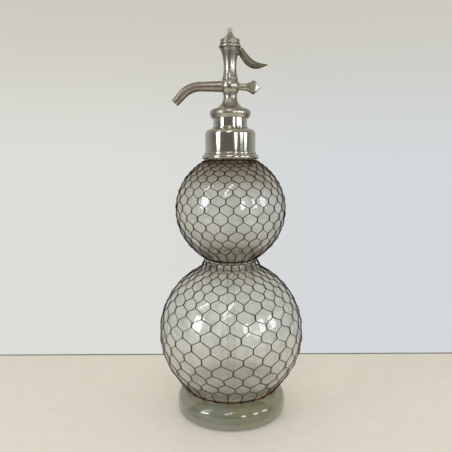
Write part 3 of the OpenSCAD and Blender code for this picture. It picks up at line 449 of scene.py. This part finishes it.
def wander(obj, z0, low, high, shift):
    """Move a net along its globe in slow waves that fade out at its two rings."""
    points = coordinates(obj)
    out = points - np.array([0, 0, z0])
    far = np.linalg.norm(out, axis=1)
    lat = np.arcsin(out[:, 2] / far)
    lon = np.arctan2(out[:, 1], out[:, 0])
    fade = np.clip((points[:, 2] - low) / fade_height, 0, 1)
    fade = fade * np.clip((high - points[:, 2]) / fade_height, 0, 1)
    across = waves(lon, lat, ((1.0, 4, 7, shift), (0.8, 9, -5, 2.1 * shift), (0.6, 6, 13, 0.7)))
    along = waves(lon, lat, ((1.0, 5, -6, 1.7 * shift), (0.7, 8, 11, 3.3), (0.5, 17, 3, 0.0)))
    lon = lon + np.radians(wander_deg) * across * fade / np.maximum(np.cos(lat), 0.3)
    lat = lat + np.radians(wander_deg * 0.8) * along * fade
    points[:, 0] = far * np.cos(lat) * np.cos(lon)
    points[:, 1] = far * np.cos(lat) * np.sin(lon)
    points[:, 2] = z0 + far * np.sin(lat)
    put_back(obj, points)


wander(lower_net, lower_z, bottom_ring[1], waist_ring[1], shift=0.4)
wander(upper_net, upper_z, waist_ring[1], neck_ring[1], shift=2.6)

# %% [markdown]
# Three rings hold the netting: a plain one under the collar, a tie of two twisted wires
# round the waist, and a rusty one above the foot, where the last joints are wound up.

# %% Rings
tie_turns = 36
strand_r = waist_ring[2] / 2
strand_off = 0.9 * strand_r
knot_r = bottom_ring[2] + wire_r
knot_wire_r, knot_turns, knot_width = 0.00042, 3, 0.0026
# Points along the rings
tie_steps, neck_steps, hoop_steps = 288, 144, 160


def ring_path(ring, turns, r, phase, steps):
    """A helix of radius r laid round a ring. With no turns it is the ring itself."""
    path = []
    for k in range(steps):
        t = 2 * math.pi * k / steps
        angle = turns * t + phase
        from_axis = ring[0] + r * math.cos(angle)
        at = (from_axis * math.cos(t), from_axis * math.sin(t), ring[1] + r * math.sin(angle))
        path.append(at)
    return path


def knot_path(ring, r, turns, width):
    """A few turns of wire wound round a ring at +X."""
    path = []
    steps = 10 * turns
    for k in range(steps + 1):
        t = k / steps
        angle = 2 * math.pi * turns * t
        lon = (t - 0.5) * width / ring[0]
        from_axis = ring[0] + r * math.cos(angle)
        at = (from_axis * math.cos(lon), from_axis * math.sin(lon), ring[1] + r * math.sin(angle))
        path.append(at)
    return path


strands = []
for phase in (0, math.pi):
    path = ring_path(waist_ring, tie_turns, strand_off, phase, tie_steps)
    strands.append(wire_mesh("strand", path, strand_r, closed=True))
waist_tie = join(strands, "waist_tie")
neck_path = ring_path(neck_ring, 0, 0, 0, neck_steps)
neck_tie = wire_mesh("neck_tie", neck_path, neck_ring[2], closed=True)
hoop_path = ring_path(bottom_ring, 0, 0, 0, hoop_steps)
hoop = wire_mesh("hoop", hoop_path, bottom_ring[2], closed=True)
knot = wire_mesh("knot", knot_path(bottom_ring, knot_r, knot_turns, knot_width), knot_wire_r)
knots = ring_of(knot, cells, "knots")
pick(knots)
# The knots are turned to where the wires of the last row end
turn_about_z(-math.radians(lower_phase + lean * (len(lower_lats) - 1) + 180 / cells))
bottom_hoop = join([hoop, knots], "bottom_hoop")
print("rings of", [len(obj.data.polygons) for obj in (waist_tie, neck_tie, bottom_hoop)], "faces")

# %% [markdown]
# Inside the cap a coil spring pushes the valve shut. It is wound from round wire, with both
# ends closed so that it stands square.

# %% Valve spring
spring_low, spring_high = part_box("valve_spring")
spring_mean_r, spring_wire_r, end_turns, free_turns = 0.0032, 0.0004, 0.75, 3.5
points_a_turn = 20


def coil_path():
    """Points along the spring's wire: a closed end, the free turns and a closed end."""
    foot = spring_low.z + spring_wire_r
    head = spring_high.z - spring_wire_r
    end_rise = 2 * spring_wire_r * end_turns
    turns_at = [0, end_turns, end_turns + free_turns, 2 * end_turns + free_turns]
    heights = [foot, foot + end_rise, head - end_rise, head]
    path = []
    for turn in np.linspace(0, turns_at[-1], int(points_a_turn * turns_at[-1]) + 1):
        angle = 2 * math.pi * turn
        x, y = spring_mean_r * math.cos(angle), spring_mean_r * math.sin(angle)
        path.append((x, y, float(np.interp(turn, turns_at, heights))))
    return path


spring = wire_mesh("coil_spring", coil_path(), spring_wire_r)

# %% [markdown]
# A new piece takes the place of the CAD nodes that it shows, so those are hidden, and it
# moves with the body that they belong to.


def stand_for(piece, body, slot, *cad_nodes):
    """Put a piece in the place of CAD nodes, on a body. The slot argument is not used."""
    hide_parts(*cad_nodes)
    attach(piece, body)
    print(piece.name, "replaces", ", ".join(cad_nodes))


stand_for(
    glass, "vessel", "vessel_glass",
    "lower_globe", "glass_waist", "upper_globe", "glass_neck", "glass_foot",
)
stand_for(lower_net, "vessel", "net_wire", "lower_netting")
stand_for(upper_net, "vessel", "net_wire", "upper_netting")
stand_for(waist_tie, "vessel", "net_wire", "waist_wire")
stand_for(neck_tie, "vessel", "net_wire", "neck_wire")
stand_for(bottom_hoop, "vessel", "ring_wire", "bottom_ring_wire")
stand_for(spring, "head", "spring_steel", "valve_spring")
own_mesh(spring)

# %% [markdown]
# ## Finishes
# A material is a small network of nodes: patterns on the piece's own coordinates are
# stretched, added and mixed, and end in the shader. The helpers each add one kind of node, so
# that a finish below reads like a recipe. The first ones make a pattern.

# %% Helpers for patterns
def add(tree, kind, **values):
    """Add a shader node and set its properties."""
    node = tree.nodes.new("ShaderNode" + kind)
    for key, value in values.items():
        setattr(node, key, value)
    return node


def set_inputs(node, **values):
    """Set plain values of a node's inputs. An underscore stands for a space in the name."""
    for key, value in values.items():
        node.inputs[key.replace("_", " ")].default_value = value


def piece_place(tree):
    """The piece's own coordinates, in metres."""
    return add(tree, "TexCoord").outputs["Object"]


def noise(tree, vector, scale, detail, rough, stretch=None):
    """A noise pattern on coordinates, stretched if asked."""
    if stretch:
        mapping = add(tree, "Mapping")
        set_inputs(mapping, Scale=stretch)
        tree.links.new(vector, mapping.inputs["Vector"])
        vector = mapping.outputs["Vector"]
    node = add(tree, "TexNoise")
    set_inputs(node, Scale=scale, Detail=detail, Roughness=rough)
    tree.links.new(vector, node.inputs["Vector"])
    return node.outputs["Fac"]


# %% [markdown]
# A noise pattern is a soft grey between 0 and 1. The next helpers turn it into what a finish
# needs: a steeper edge between two values, a sum or a product, and a mix of two colours.

# %% Helpers for edges, sums and mixes
def ramp(tree, value, low, high):
    """Stretch the part of a value between low and high to 0 to 1."""
    node = add(tree, "MapRange", clamp=True, interpolation_type="SMOOTHSTEP")
    set_inputs(node, From_Min=low, From_Max=high)
    tree.links.new(value, node.inputs["Value"])
    return node.outputs["Result"]


def maths(tree, operation, a, b):
    """A Math node on two values or sockets."""
    node = add(tree, "Math", operation=operation)
    for k, value in enumerate((a, b)):
        if isinstance(value, (int, float)):
            node.inputs[k].default_value = value
        else:
            tree.links.new(value, node.inputs[k])
    return node.outputs["Value"]


def blend(tree, fac, a, b):
    """Mix two colours or colour sockets."""
    node = add(tree, "Mix", data_type="RGBA")
    for key, value in (("Factor", fac), ("A", a), ("B", b)):
        socket = next(s for s in node.inputs if s.name == key and s.enabled)
        if isinstance(value, (int, float, tuple)):
            socket.default_value = value
        else:
            tree.links.new(value, socket)
    return next(s for s in node.outputs if s.enabled)


# %% [markdown]
# A pattern that several materials share is a node group, built once, with named inputs and
# outputs. The shader itself stays in the material, and so does the bump that tilts its
# surface.

# %% Helpers for groups and materials
def new_group(name, inputs, outputs):
    """A shader node group with its input and output nodes."""
    group = bpy.data.node_groups.new(name, "ShaderNodeTree")
    for label, kind, value in inputs:
        made = group.interface.new_socket(
            name=label, in_out="INPUT", socket_type="NodeSocket" + kind
        )
        made.default_value = value
    for label, kind in outputs:
        group.interface.new_socket(name=label, in_out="OUTPUT", socket_type="NodeSocket" + kind)
    print("group", name)
    return group, group.nodes.new("NodeGroupInput"), group.nodes.new("NodeGroupOutput")


def new_material(name, **values):
    """A material with a Principled shader and these plain values."""
    mat = bpy.data.materials.new(name)
    mat.use_nodes = True
    shader = mat.node_tree.nodes["Principled BSDF"]
    set_inputs(shader, **values)
    print("material", name)
    return mat, mat.node_tree, shader


def roughen(tree, shader, height, strength, distance):
    """Tilt a shader's surface by a height pattern."""
    bump = add(tree, "Bump")
    set_inputs(bump, Strength=strength, Distance=distance)
    tree.links.new(height, bump.inputs["Height"])
    tree.links.new(bump.outputs["Normal"], shader.inputs["Normal"])


# %% [markdown]
# Old pewter has a thin grey skin with soft blotches, fine marks from polishing, and small
# specks of dark dirt. Every shade of pewter, brass and steel here has that skin, with its own
# two colours, its share of tarnish and its polish.

# %% The skin of old pewter
skin, skin_in, skin_out = new_group(
    "old_pewter_skin",
    [
        ("Bright", "Color", (0.62, 0.60, 0.55, 1)), ("Dark", "Color", (0.30, 0.27, 0.22, 1)),
        ("Tarnish", "Float", 0.5), ("Polish", "Float", 0.3),
    ],
    [("Color", "Color"), ("Roughness", "Float"), ("Height", "Float")],
)
where = piece_place(skin)
blotch = ramp(skin, noise(skin, where, scale=90, detail=5, rough=0.6), 0.42, 0.68)
speck = ramp(skin, noise(skin, where, scale=900, detail=4, rough=0.6), 0.5, 0.75)
brushed = noise(skin, where, scale=60, detail=3, rough=0.6, stretch=(1, 1, 30))
dirt = maths(skin, "ADD", blotch, maths(skin, "MULTIPLY", speck, 0.35))
dirt = maths(skin, "MULTIPLY", dirt, skin_in.outputs["Tarnish"])
colour = blend(skin, dirt, skin_in.outputs["Bright"], skin_in.outputs["Dark"])
skin.links.new(colour, skin_out.inputs["Color"])
rough = maths(skin, "ADD", skin_in.outputs["Polish"], maths(skin, "MULTIPLY", dirt, 0.22))
rough = maths(skin, "ADD", rough, maths(skin, "MULTIPLY", brushed, 0.06))
skin.links.new(rough, skin_out.inputs["Roughness"])
marks = maths(
    skin, "ADD", maths(skin, "MULTIPLY", brushed, 0.5), maths(skin, "MULTIPLY", speck, 0.5)
)
skin.links.new(marks, skin_out.inputs["Height"])


def pewter(name, bright, dark, tarnish, polish):
    """Old metal in one of its shades."""
    mat, tree, shader = new_material(name, Metallic=1.0)
    node = add(tree, "Group", node_tree=skin)
    set_inputs(node, Bright=(*bright, 1), Dark=(*dark, 1), Tarnish=tarnish, Polish=polish)
    tree.links.new(node.outputs["Color"], shader.inputs["Base Color"])
    tree.links.new(node.outputs["Roughness"], shader.inputs["Roughness"])
    roughen(tree, shader, node.outputs["Height"], strength=0.03, distance=0.0001)
    return mat


head_finish = pewter("satin_pewter", (0.50, 0.48, 0.425), (0.25, 0.22, 0.17), 0.5, 0.24)
collar_finish = pewter("polished_pewter", (0.62, 0.61, 0.55), (0.38, 0.34, 0.255), 0.3, 0.07)
spout_finish = pewter("brown_pewter", (0.44, 0.40, 0.35), (0.22, 0.18, 0.14), 0.6, 0.30)
lever_finish = pewter("olive_pewter", (0.28, 0.26, 0.20), (0.11, 0.10, 0.07), 0.7, 0.36)
grip_finish = pewter("worn_pewter", (0.66, 0.64, 0.56), (0.30, 0.27, 0.20), 0.6, 0.20)
brass_finish = pewter("old_brass", (0.62, 0.47, 0.22), (0.30, 0.20, 0.09), 0.5, 0.30)
steel_finish = pewter("bare_steel", (0.50, 0.49, 0.47), (0.24, 0.20, 0.16), 0.4, 0.30)

# %% [markdown]
# Little light reaches into the spout, so its mouth is painted nearly black as shade.
# The bore is part of the same mesh, so a mask darkens what lies close to the bore's axis and
# close to the mouth, both measured with vectors.

# %% The spout's mouth in painted shade
# The middle of the CAD spout's mouth, and the way that it points
mouth, mouth_way = (-0.0607, 0.0, 0.3497), (-0.682, 0.0, -0.7314)
# Distances from the bore's axis, and from the mouth along it, where the painted shade starts and
# is full
bore_edge = (0.0039, 0.0036)
shade_depth = (-0.020, -0.008)
# The nearly black colour of the painted shade in the spout's mouth
mouth_shade_colour = (0.03, 0.025, 0.02, 1)


def vector_maths(tree, operation, vector, fixed=(0, 0, 0)):
    """The outputs of a Vector Math node on a vector socket and a fixed vector."""
    node = add(tree, "VectorMath", operation=operation)
    tree.links.new(vector, node.inputs[0])
    node.inputs[1].default_value = fixed
    return node.outputs


def paint_mouth_shade(mat):
    """Paint shade into the bore near the mouth of the spout."""
    tree = mat.node_tree
    base = tree.nodes["Principled BSDF"].inputs["Base Color"]
    from_mouth = vector_maths(tree, "SUBTRACT", piece_place(tree), mouth)["Vector"]
    along = vector_maths(tree, "DOT_PRODUCT", from_mouth, mouth_way)["Value"]
    across = vector_maths(tree, "CROSS_PRODUCT", from_mouth, mouth_way)["Vector"]
    off_axis = vector_maths(tree, "LENGTH", across)["Value"]
    in_bore = ramp(tree, off_axis, *bore_edge)
    near_mouth = ramp(tree, along, *shade_depth)
    # Mask of the painted shade inside the mouth
    dark = maths(tree, "MULTIPLY", in_bore, near_mouth)
    tree.links.new(blend(tree, dark, base.links[0].from_socket, mouth_shade_colour), base)


paint_mouth_shade(spout_finish)

# %% [markdown]
# Iron wire rusts in patches: bare dark brown where it was handled, orange where it was damp.

# %% Rusty wire
def rusty(name, dark, rust, share):
    """Aged iron wire. share is how much of it has turned to orange rust."""
    mat, tree, shader = new_material(name, Roughness=0.7, Metallic=0.0, Specular_IOR_Level=0.1)
    where = piece_place(tree)
    patch = noise(tree, where, scale=70, detail=4, rough=0.6)
    patch = ramp(tree, patch, 0.62 - share * 0.5, 0.78 - share * 0.4)
    grain = noise(tree, where, scale=2500, detail=2, rough=0.6)
    colour = blend(tree, patch, (*dark, 1), (*rust, 1))
    colour = blend(tree, maths(tree, "MULTIPLY", grain, 0.4), colour, (0.02, 0.015, 0.01, 1))
    tree.links.new(colour, shader.inputs["Base Color"])
    roughen(tree, shader, grain, strength=0.4, distance=0.0001)
    return mat


net_finish = rusty("brown_wire", (0.013, 0.007, 0.004), (0.075, 0.027, 0.009), 0.45)
ring_finish = rusty("rusty_ring", (0.040, 0.019, 0.009), (0.115, 0.045, 0.017), 0.6)

# %% [markdown]
# Glass is one shader: clear, smooth, and bent by its index of refraction. Lamps should
# still light what is behind it, so rays that only ask for a lamp pass straight through. A
# very shallow bump gives its surface the slight unevenness of blown glass.

# %% Clear glass
def clear_glass(name, tint, shadow, roughness=0.0, through_share=1.0, coat=0.0):
    """Glass with a tint, whose shadows are only as dark as the colour of shadow."""
    mat, tree, shader = new_material(
        name, Base_Color=(*tint, 1), Roughness=roughness, IOR=1.5,
        Transmission_Weight=through_share, Metallic=0.0, Coat_Weight=coat, Coat_Roughness=0.03,
    )
    ripple = noise(tree, piece_place(tree), scale=28, detail=2, rough=0.5)
    roughen(tree, shader, ripple, strength=0.12, distance=0.001)
    through = add(tree, "BsdfTransparent")
    set_inputs(through, Color=(*shadow, 1))
    ray = add(tree, "LightPath")
    mix = add(tree, "MixShader")
    tree.links.new(ray.outputs["Is Shadow Ray"], mix.inputs[0])
    tree.links.new(shader.outputs["BSDF"], mix.inputs[1])
    tree.links.new(through.outputs["BSDF"], mix.inputs[2])
    tree.links.new(mix.outputs["Shader"], tree.nodes["Material Output"].inputs["Surface"])
    return mat, tree, shader


vessel_finish = clear_glass("clear_glass", (0.90, 0.91, 0.88), (0.93, 0.94, 0.92))[0]
tube_finish = clear_glass("tube_glass", (0.92, 0.94, 0.92), (0.95, 0.96, 0.95))[0]

# %% [markdown]
# The foot is thick green glass, cloudy inside, so part of its light is scattered and its colour
# is mottled, under a glossy coat. Round its edges, where the surface turns away and light has
# the longest way through it, the colour is darkened with painted shade.

# %% Glass of the foot
def cloudy_glass(name, tint, clear, cloudy, edge_shade):
    """Thick glass between two colours, with a painted shade colour at its edges."""
    mat, tree, shader = clear_glass(
        name, tint, shadow=(0.62, 0.65, 0.57), roughness=0.16, through_share=0.64, coat=1.0
    )
    cloud = ramp(tree, noise(tree, piece_place(tree), scale=22, detail=2, rough=0.5), 0.4, 0.62)
    facing = add(tree, "LayerWeight")
    set_inputs(facing, Blend=0.35)
    # Painted shade: the colour darkens where the surface turns away
    edge_shade_mask = ramp(tree, facing.outputs["Facing"], 0.25, 0.85)
    body = blend(tree, cloud, (*clear, 1), (*cloudy, 1))
    tree.links.new(blend(tree, edge_shade_mask, body, (*edge_shade, 1)), shader.inputs["Base Color"])
    return mat


# edge_shade is the painted shade round the foot's edges
foot_finish = cloudy_glass(
    "green_glass", (0.30, 0.32, 0.24),
    clear=(0.29, 0.315, 0.255), cloudy=(0.30, 0.29, 0.18), edge_shade=(0.055, 0.065, 0.048),
)

# %% [markdown]
# An old siphon has a film on the inner wall of its globes, left by the water. So the inner wall
# has its own material, paler and less clear. Low in each globe and at its shoulder it turns to a
# darker, browner colour, which is partly the film's stain and partly painted shade.

# %% Film on the inner wall
def hazed_glass(name, share, low, high, pale, stain_and_shade):
    """Filmed glass, darker below low and above high with stain and painted shade; low and high are
    each a soft edge's two heights.
    """
    mat, tree, shader = clear_glass(
        name, pale, shadow=(0.88, 0.87, 0.84), roughness=0.14, through_share=share
    )
    where = piece_place(tree)
    apart = add(tree, "SeparateXYZ")
    tree.links.new(where, apart.inputs[0])
    wobble = noise(tree, where, scale=60, detail=3, rough=0.6)
    wobble = maths(tree, "SUBTRACT", maths(tree, "MULTIPLY", wobble, 0.012), 0.006)
    z = maths(tree, "ADD", apart.outputs["Z"], wobble)
    # Stain and painted shade: the darker bands low in the globe and at its shoulder
    stain_and_shade_mask = maths(tree, "MAXIMUM", ramp(tree, z, low[1], low[0]), ramp(tree, z, *high))
    cloud = ramp(tree, noise(tree, where, scale=45, detail=4, rough=0.6), 0.35, 0.7)
    film = blend(tree, maths(tree, "MULTIPLY", cloud, 0.25), (*pale, 1), (*stain_and_shade, 1))
    tree.links.new(blend(tree, stain_and_shade_mask, film, (*stain_and_shade, 1)), shader.inputs["Base Color"])
    return mat


# stain_and_shade is partly the film's stain and partly painted shade
upper_haze = hazed_glass(
    "hazed_upper", 0.66, low=(0.175, 0.215), high=(0.250, 0.280),
    pale=(0.76, 0.755, 0.72), stain_and_shade=(0.26, 0.22, 0.15),
)
lower_haze = hazed_glass(
    "hazed_lower", 0.76, low=(0.010, 0.060), high=(0.145, 0.180),
    pale=(0.80, 0.795, 0.76), stain_and_shade=(0.45, 0.43, 0.32),
)

# %% [markdown]
# Rubber, leather, cement and porcelain are dull. One group gives them all a mottled colour
# and a fine grain, each with its own shades and grain size.

# %% Dull materials
mottle, mottle_in, mottle_out = new_group(
    "mottled",
    [("Light", "Color", (0.5, 0.5, 0.5, 1)), ("Dark", "Color", (0.3, 0.3, 0.3, 1)),
     ("Grain", "Float", 400.0)],
    [("Color", "Color"), ("Height", "Float")],
)
where = piece_place(mottle)
patches = ramp(mottle, noise(mottle, where, scale=55, detail=4, rough=0.6), 0.35, 0.7)
grain = add(mottle, "TexNoise")
mottle.links.new(where, grain.inputs["Vector"])
mottle.links.new(mottle_in.outputs["Grain"], grain.inputs["Scale"])
colour = blend(mottle, patches, mottle_in.outputs["Light"], mottle_in.outputs["Dark"])
mottle.links.new(colour, mottle_out.inputs["Color"])
mottle.links.new(grain.outputs["Fac"], mottle_out.inputs["Height"])


def dull(name, light, dark, roughness, grain_scale, bump):
    """A dull material with mottled colour and a grain."""
    mat, tree, shader = new_material(name, Roughness=roughness)
    node = add(tree, "Group", node_tree=mottle)
    set_inputs(node, Light=(*light, 1), Dark=(*dark, 1), Grain=grain_scale)
    tree.links.new(node.outputs["Color"], shader.inputs["Base Color"])
    roughen(tree, shader, node.outputs["Height"], strength=bump, distance=0.0002)
    return mat


rubber_finish = dull("black_rubber", (0.035, 0.032, 0.03), (0.02, 0.018, 0.017), 0.7, 900, 0.2)
leather_finish = dull("waxed_leather", (0.17, 0.09, 0.045), (0.09, 0.045, 0.022), 0.55, 600, 0.5)
cement_finish = dull("buff_cement", (0.44, 0.39, 0.30), (0.33, 0.28, 0.20), 0.9, 500, 0.6)
porcelain_finish = dull("porcelain", (0.72, 0.69, 0.61), (0.62, 0.57, 0.47), 0.35, 300, 0.05)

# %% [markdown]
# Most pieces take one finish. The glass takes four, face by face: faces closer to the inner
# profile get the film of their globe, and of the outer ones those low down are the foot.

# %% Put the finishes on
def dress(obj, *finishes):
    """Give a piece its materials."""
    obj.data.materials.clear()
    for mat in finishes:
        obj.data.materials.append(mat)


def sort_glass_faces():
    """Give each face of the glass the number of its material."""
    clear, foot, upper_film, lower_film = range(4)
    outer_line, inner_line = np.array(outside), np.array(inside)
    for face in glass.data.polygons:
        at = np.array([math.hypot(face.center.x, face.center.y), face.center.z])
        to_inner = np.min(np.linalg.norm(inner_line - at, axis=1))
        to_outer = np.min(np.linalg.norm(outer_line - at, axis=1))
        if to_inner < to_outer:
            face.material_index = lower_film if face.center.z < waist[1] else upper_film
        else:
            face.material_index = foot if face.center.z < foot_top else clear


node_finishes = {
    "collar": collar_finish, "collar_cement": cement_finish, "neck_washer": rubber_finish,
    "valve_body": head_finish, "spout": spout_finish, "finger_grip": grip_finish,
    "top_cap": head_finish, "lever": lever_finish,
    "lever_pin": steel_finish, "valve_rod": brass_finish, "valve_disc": rubber_finish,
    "gland_packing": leather_finish, "gland_ring": brass_finish, "tube_nut": head_finish,
    "tube_sleeve": rubber_finish, "dip_tube": tube_finish, "throat_stopper": porcelain_finish,
}
for name, mat in node_finishes.items():
    dress(nodes[name], mat)
dress(glass, vessel_finish, foot_finish, upper_haze, lower_haze)
sort_glass_faces()
for net_piece in (lower_net, upper_net, waist_tie, neck_tie):
    dress(net_piece, net_finish)
dress(bottom_hoop, ring_finish)
dress(spring, steel_finish)
print(len(node_finishes), "CAD nodes keep their shape and have a finish")

# %% [markdown]
# ## The studio
# A pale table top ends a short way behind the siphon, and a thin dark strip along its edge is a
# painted shadow of the gap behind it. Both are plain shapes, because only the siphon should draw
# the eye.

# %% Table
table_width, table_depth, table_edge = 1.7, 0.8, 0.155
# A thin dark strip just behind the table's edge is a painted shadow
shadow_gap, shadow_strip_width, shadow_strip_height, shadow_strip_rise = 0.0015, 0.001, 0.0012, 0.0002


def stage_piece(name, primitive, size, place, finish):
    """Add a primitive to the studio, at its size and place, with its finish."""
    bpy.ops.object.select_all(action="DESELECT")
    primitive(size=1)
    piece = bpy.context.object
    piece.scale = size
    piece.location = place
    settle(piece, name)
    dress(piece, finish)
    print(name, "is", size[0], "by", size[1], "m")


table_finish = dull("cream_table", (0.87, 0.82, 0.755), (0.85, 0.79, 0.72), 0.5, 120, 0.05)
stage_piece(
    "table_top", bpy.ops.mesh.primitive_plane_add,
    (table_width, table_depth, 1), (0, table_edge - table_depth / 2, 0), table_finish,
)
# The colour of the painted shadow along the table's back edge
edge_shadow_finish = dull("painted_edge_shadow", (0.16, 0.15, 0.14), (0.10, 0.09, 0.085), 0.8, 300, 0.1)
stage_piece(
    "table_edge_shadow", bpy.ops.mesh.primitive_cube_add,
    (table_width, shadow_strip_width, shadow_strip_height), (0, table_edge + shadow_gap, shadow_strip_rise), edge_shadow_finish,
)

# %% [markdown]
# Beyond the table is an even pale wall, which is the world's own colour. Shiny metal needs
# something to mirror, so for mirrored rays the world is a room: darker on the camera's side,
# pale behind, warm at the ceiling and dark below.

# %% Wall and room
wall_left, wall_right = (0.725, 0.725, 0.685, 1), (0.655, 0.685, 0.70, 1)
wall_top = (0.610, 0.590, 0.525, 1)
room_front, room_back = (0.165, 0.155, 0.135, 1), (0.50, 0.50, 0.48, 1)
room_ceiling, room_floor = (0.50, 0.46, 0.39, 1), (0.07, 0.062, 0.052, 1)

world = bpy.data.worlds.new("studio")
bpy.context.scene.world = world
world.use_nodes = True
tree = world.node_tree
apart = add(tree, "SeparateXYZ")
tree.links.new(add(tree, "TexCoord").outputs["Generated"], apart.inputs[0])
side, depth, height = (apart.outputs[k] for k in "XYZ")
back_wall = blend(tree, ramp(tree, side, -0.25, 0.25), wall_left, wall_right)
back_wall = blend(tree, ramp(tree, height, -0.02, 0.30), back_wall, wall_top)
room = blend(tree, ramp(tree, depth, -0.35, 0.85), room_front, room_back)
room = blend(tree, ramp(tree, height, 0.35, 0.85), room, room_ceiling)
room = blend(tree, ramp(tree, height, -0.05, -0.45), room, room_floor)
ray = add(tree, "LightPath")
mirrored = maths(
    tree, "MULTIPLY", ray.outputs["Is Reflection Ray"], ray.outputs["Is Glossy Ray"]
)
tree.links.new(blend(tree, mirrored, back_wall, room), tree.nodes["Background"].inputs["Color"])

# %% [markdown]
# The room has tall windows and tube lamps on its ceiling. Each is a rectangular lamp that
# runs from one direction to another, so its mirror image on the globes is a bright stripe.
# The windows are cool daylight and the tubes are warmer.

# %% Windows and lamps
aim = np.array([0, 0, 0.2])
lamp_distance = 2.0


def off_at(azimuth, elevation):
    """A place seen from the siphon: azimuth 0 is the camera's side, 90 the right."""
    a, e = math.radians(azimuth), math.radians(elevation)
    way = np.array([math.sin(a) * math.cos(e), -math.cos(a) * math.cos(e), math.sin(e)])
    return aim + lamp_distance * way


def panel(name, low, high, width, glow, colour):
    """A rectangular lamp from one direction to another, facing the siphon."""
    low, high = off_at(*low), off_at(*high)
    up = high - low
    length = float(np.linalg.norm(up))
    up = up / length
    back = (low + high) / 2 - aim
    back = back - up * (back @ up)
    back = back / np.linalg.norm(back)
    right = np.cross(up, back)
    bpy.ops.object.light_add(type="AREA")
    lamp = bpy.context.object
    lamp.name = name
    lamp.data.shape = "RECTANGLE"
    lamp.data.size, lamp.data.size_y = width, length
    lamp.data.energy = glow * math.pi * width * length
    lamp.data.color = colour
    turn = Matrix((right, up, back)).transposed()
    lamp.matrix_world = Matrix.Translation((low + high) / 2) @ turn.to_4x4()
    print(name, round(lamp.data.energy, 1), "watts")


daylight = (0.90, 0.95, 1.0)
tube_light = (1.0, 0.96, 0.88)
panel("window_left", (-57, 5), (-57, 26), 0.54, 8.0, daylight)
panel("window_middle", (24.5, 5), (24.5, 22), 0.32, 8.0, daylight)
panel("window_right", (51, 6), (51, 24), 0.34, 6.0, daylight)
panel("window_far", (72, 5), (72, 22), 0.42, 6.0, daylight)
panel("ceiling_front", (-15, 35), (8, 57), 0.13, 7.0, tube_light)
panel("ceiling_second", (-17, 29), (1, 38), 0.06, 6.0, tube_light)
panel("ceiling_left", (-68, 34), (-55, 50), 0.12, 7.0, tube_light)

# %% [markdown]
# ## The camera
# It stands where the photographer stood: a little above the collar, looking slightly down.
# The focal length is measured in pixels of the photograph, and the width of the sensor turns
# it into millimetres.

# %% Camera
eye = (-0.0049, -0.560, 0.288)
look_down_deg, roll_deg = 7.52, 0.28
picture_px, focal_px, sensor_mm = 452, 500, 36.0
glass_bounces = 24

bpy.ops.object.camera_add(location=eye)
camera = bpy.context.object
camera.data.sensor_width = sensor_mm
camera.data.lens = focal_px / picture_px * sensor_mm
camera.rotation_mode = "XYZ"
camera.rotation_euler = (math.radians(90 - look_down_deg), math.radians(roll_deg), 0)
camera.data.clip_start = 0.01
scene = bpy.context.scene
scene.camera = camera
scene.view_settings.view_transform = "Standard"
# Light has to pass several walls of glass
scene.cycles.max_bounces = glass_bounces
scene.cycles.transmission_bounces = glass_bounces
scene.cycles.transparent_max_bounces = glass_bounces
print("lens", round(camera.data.lens, 1), "mm")
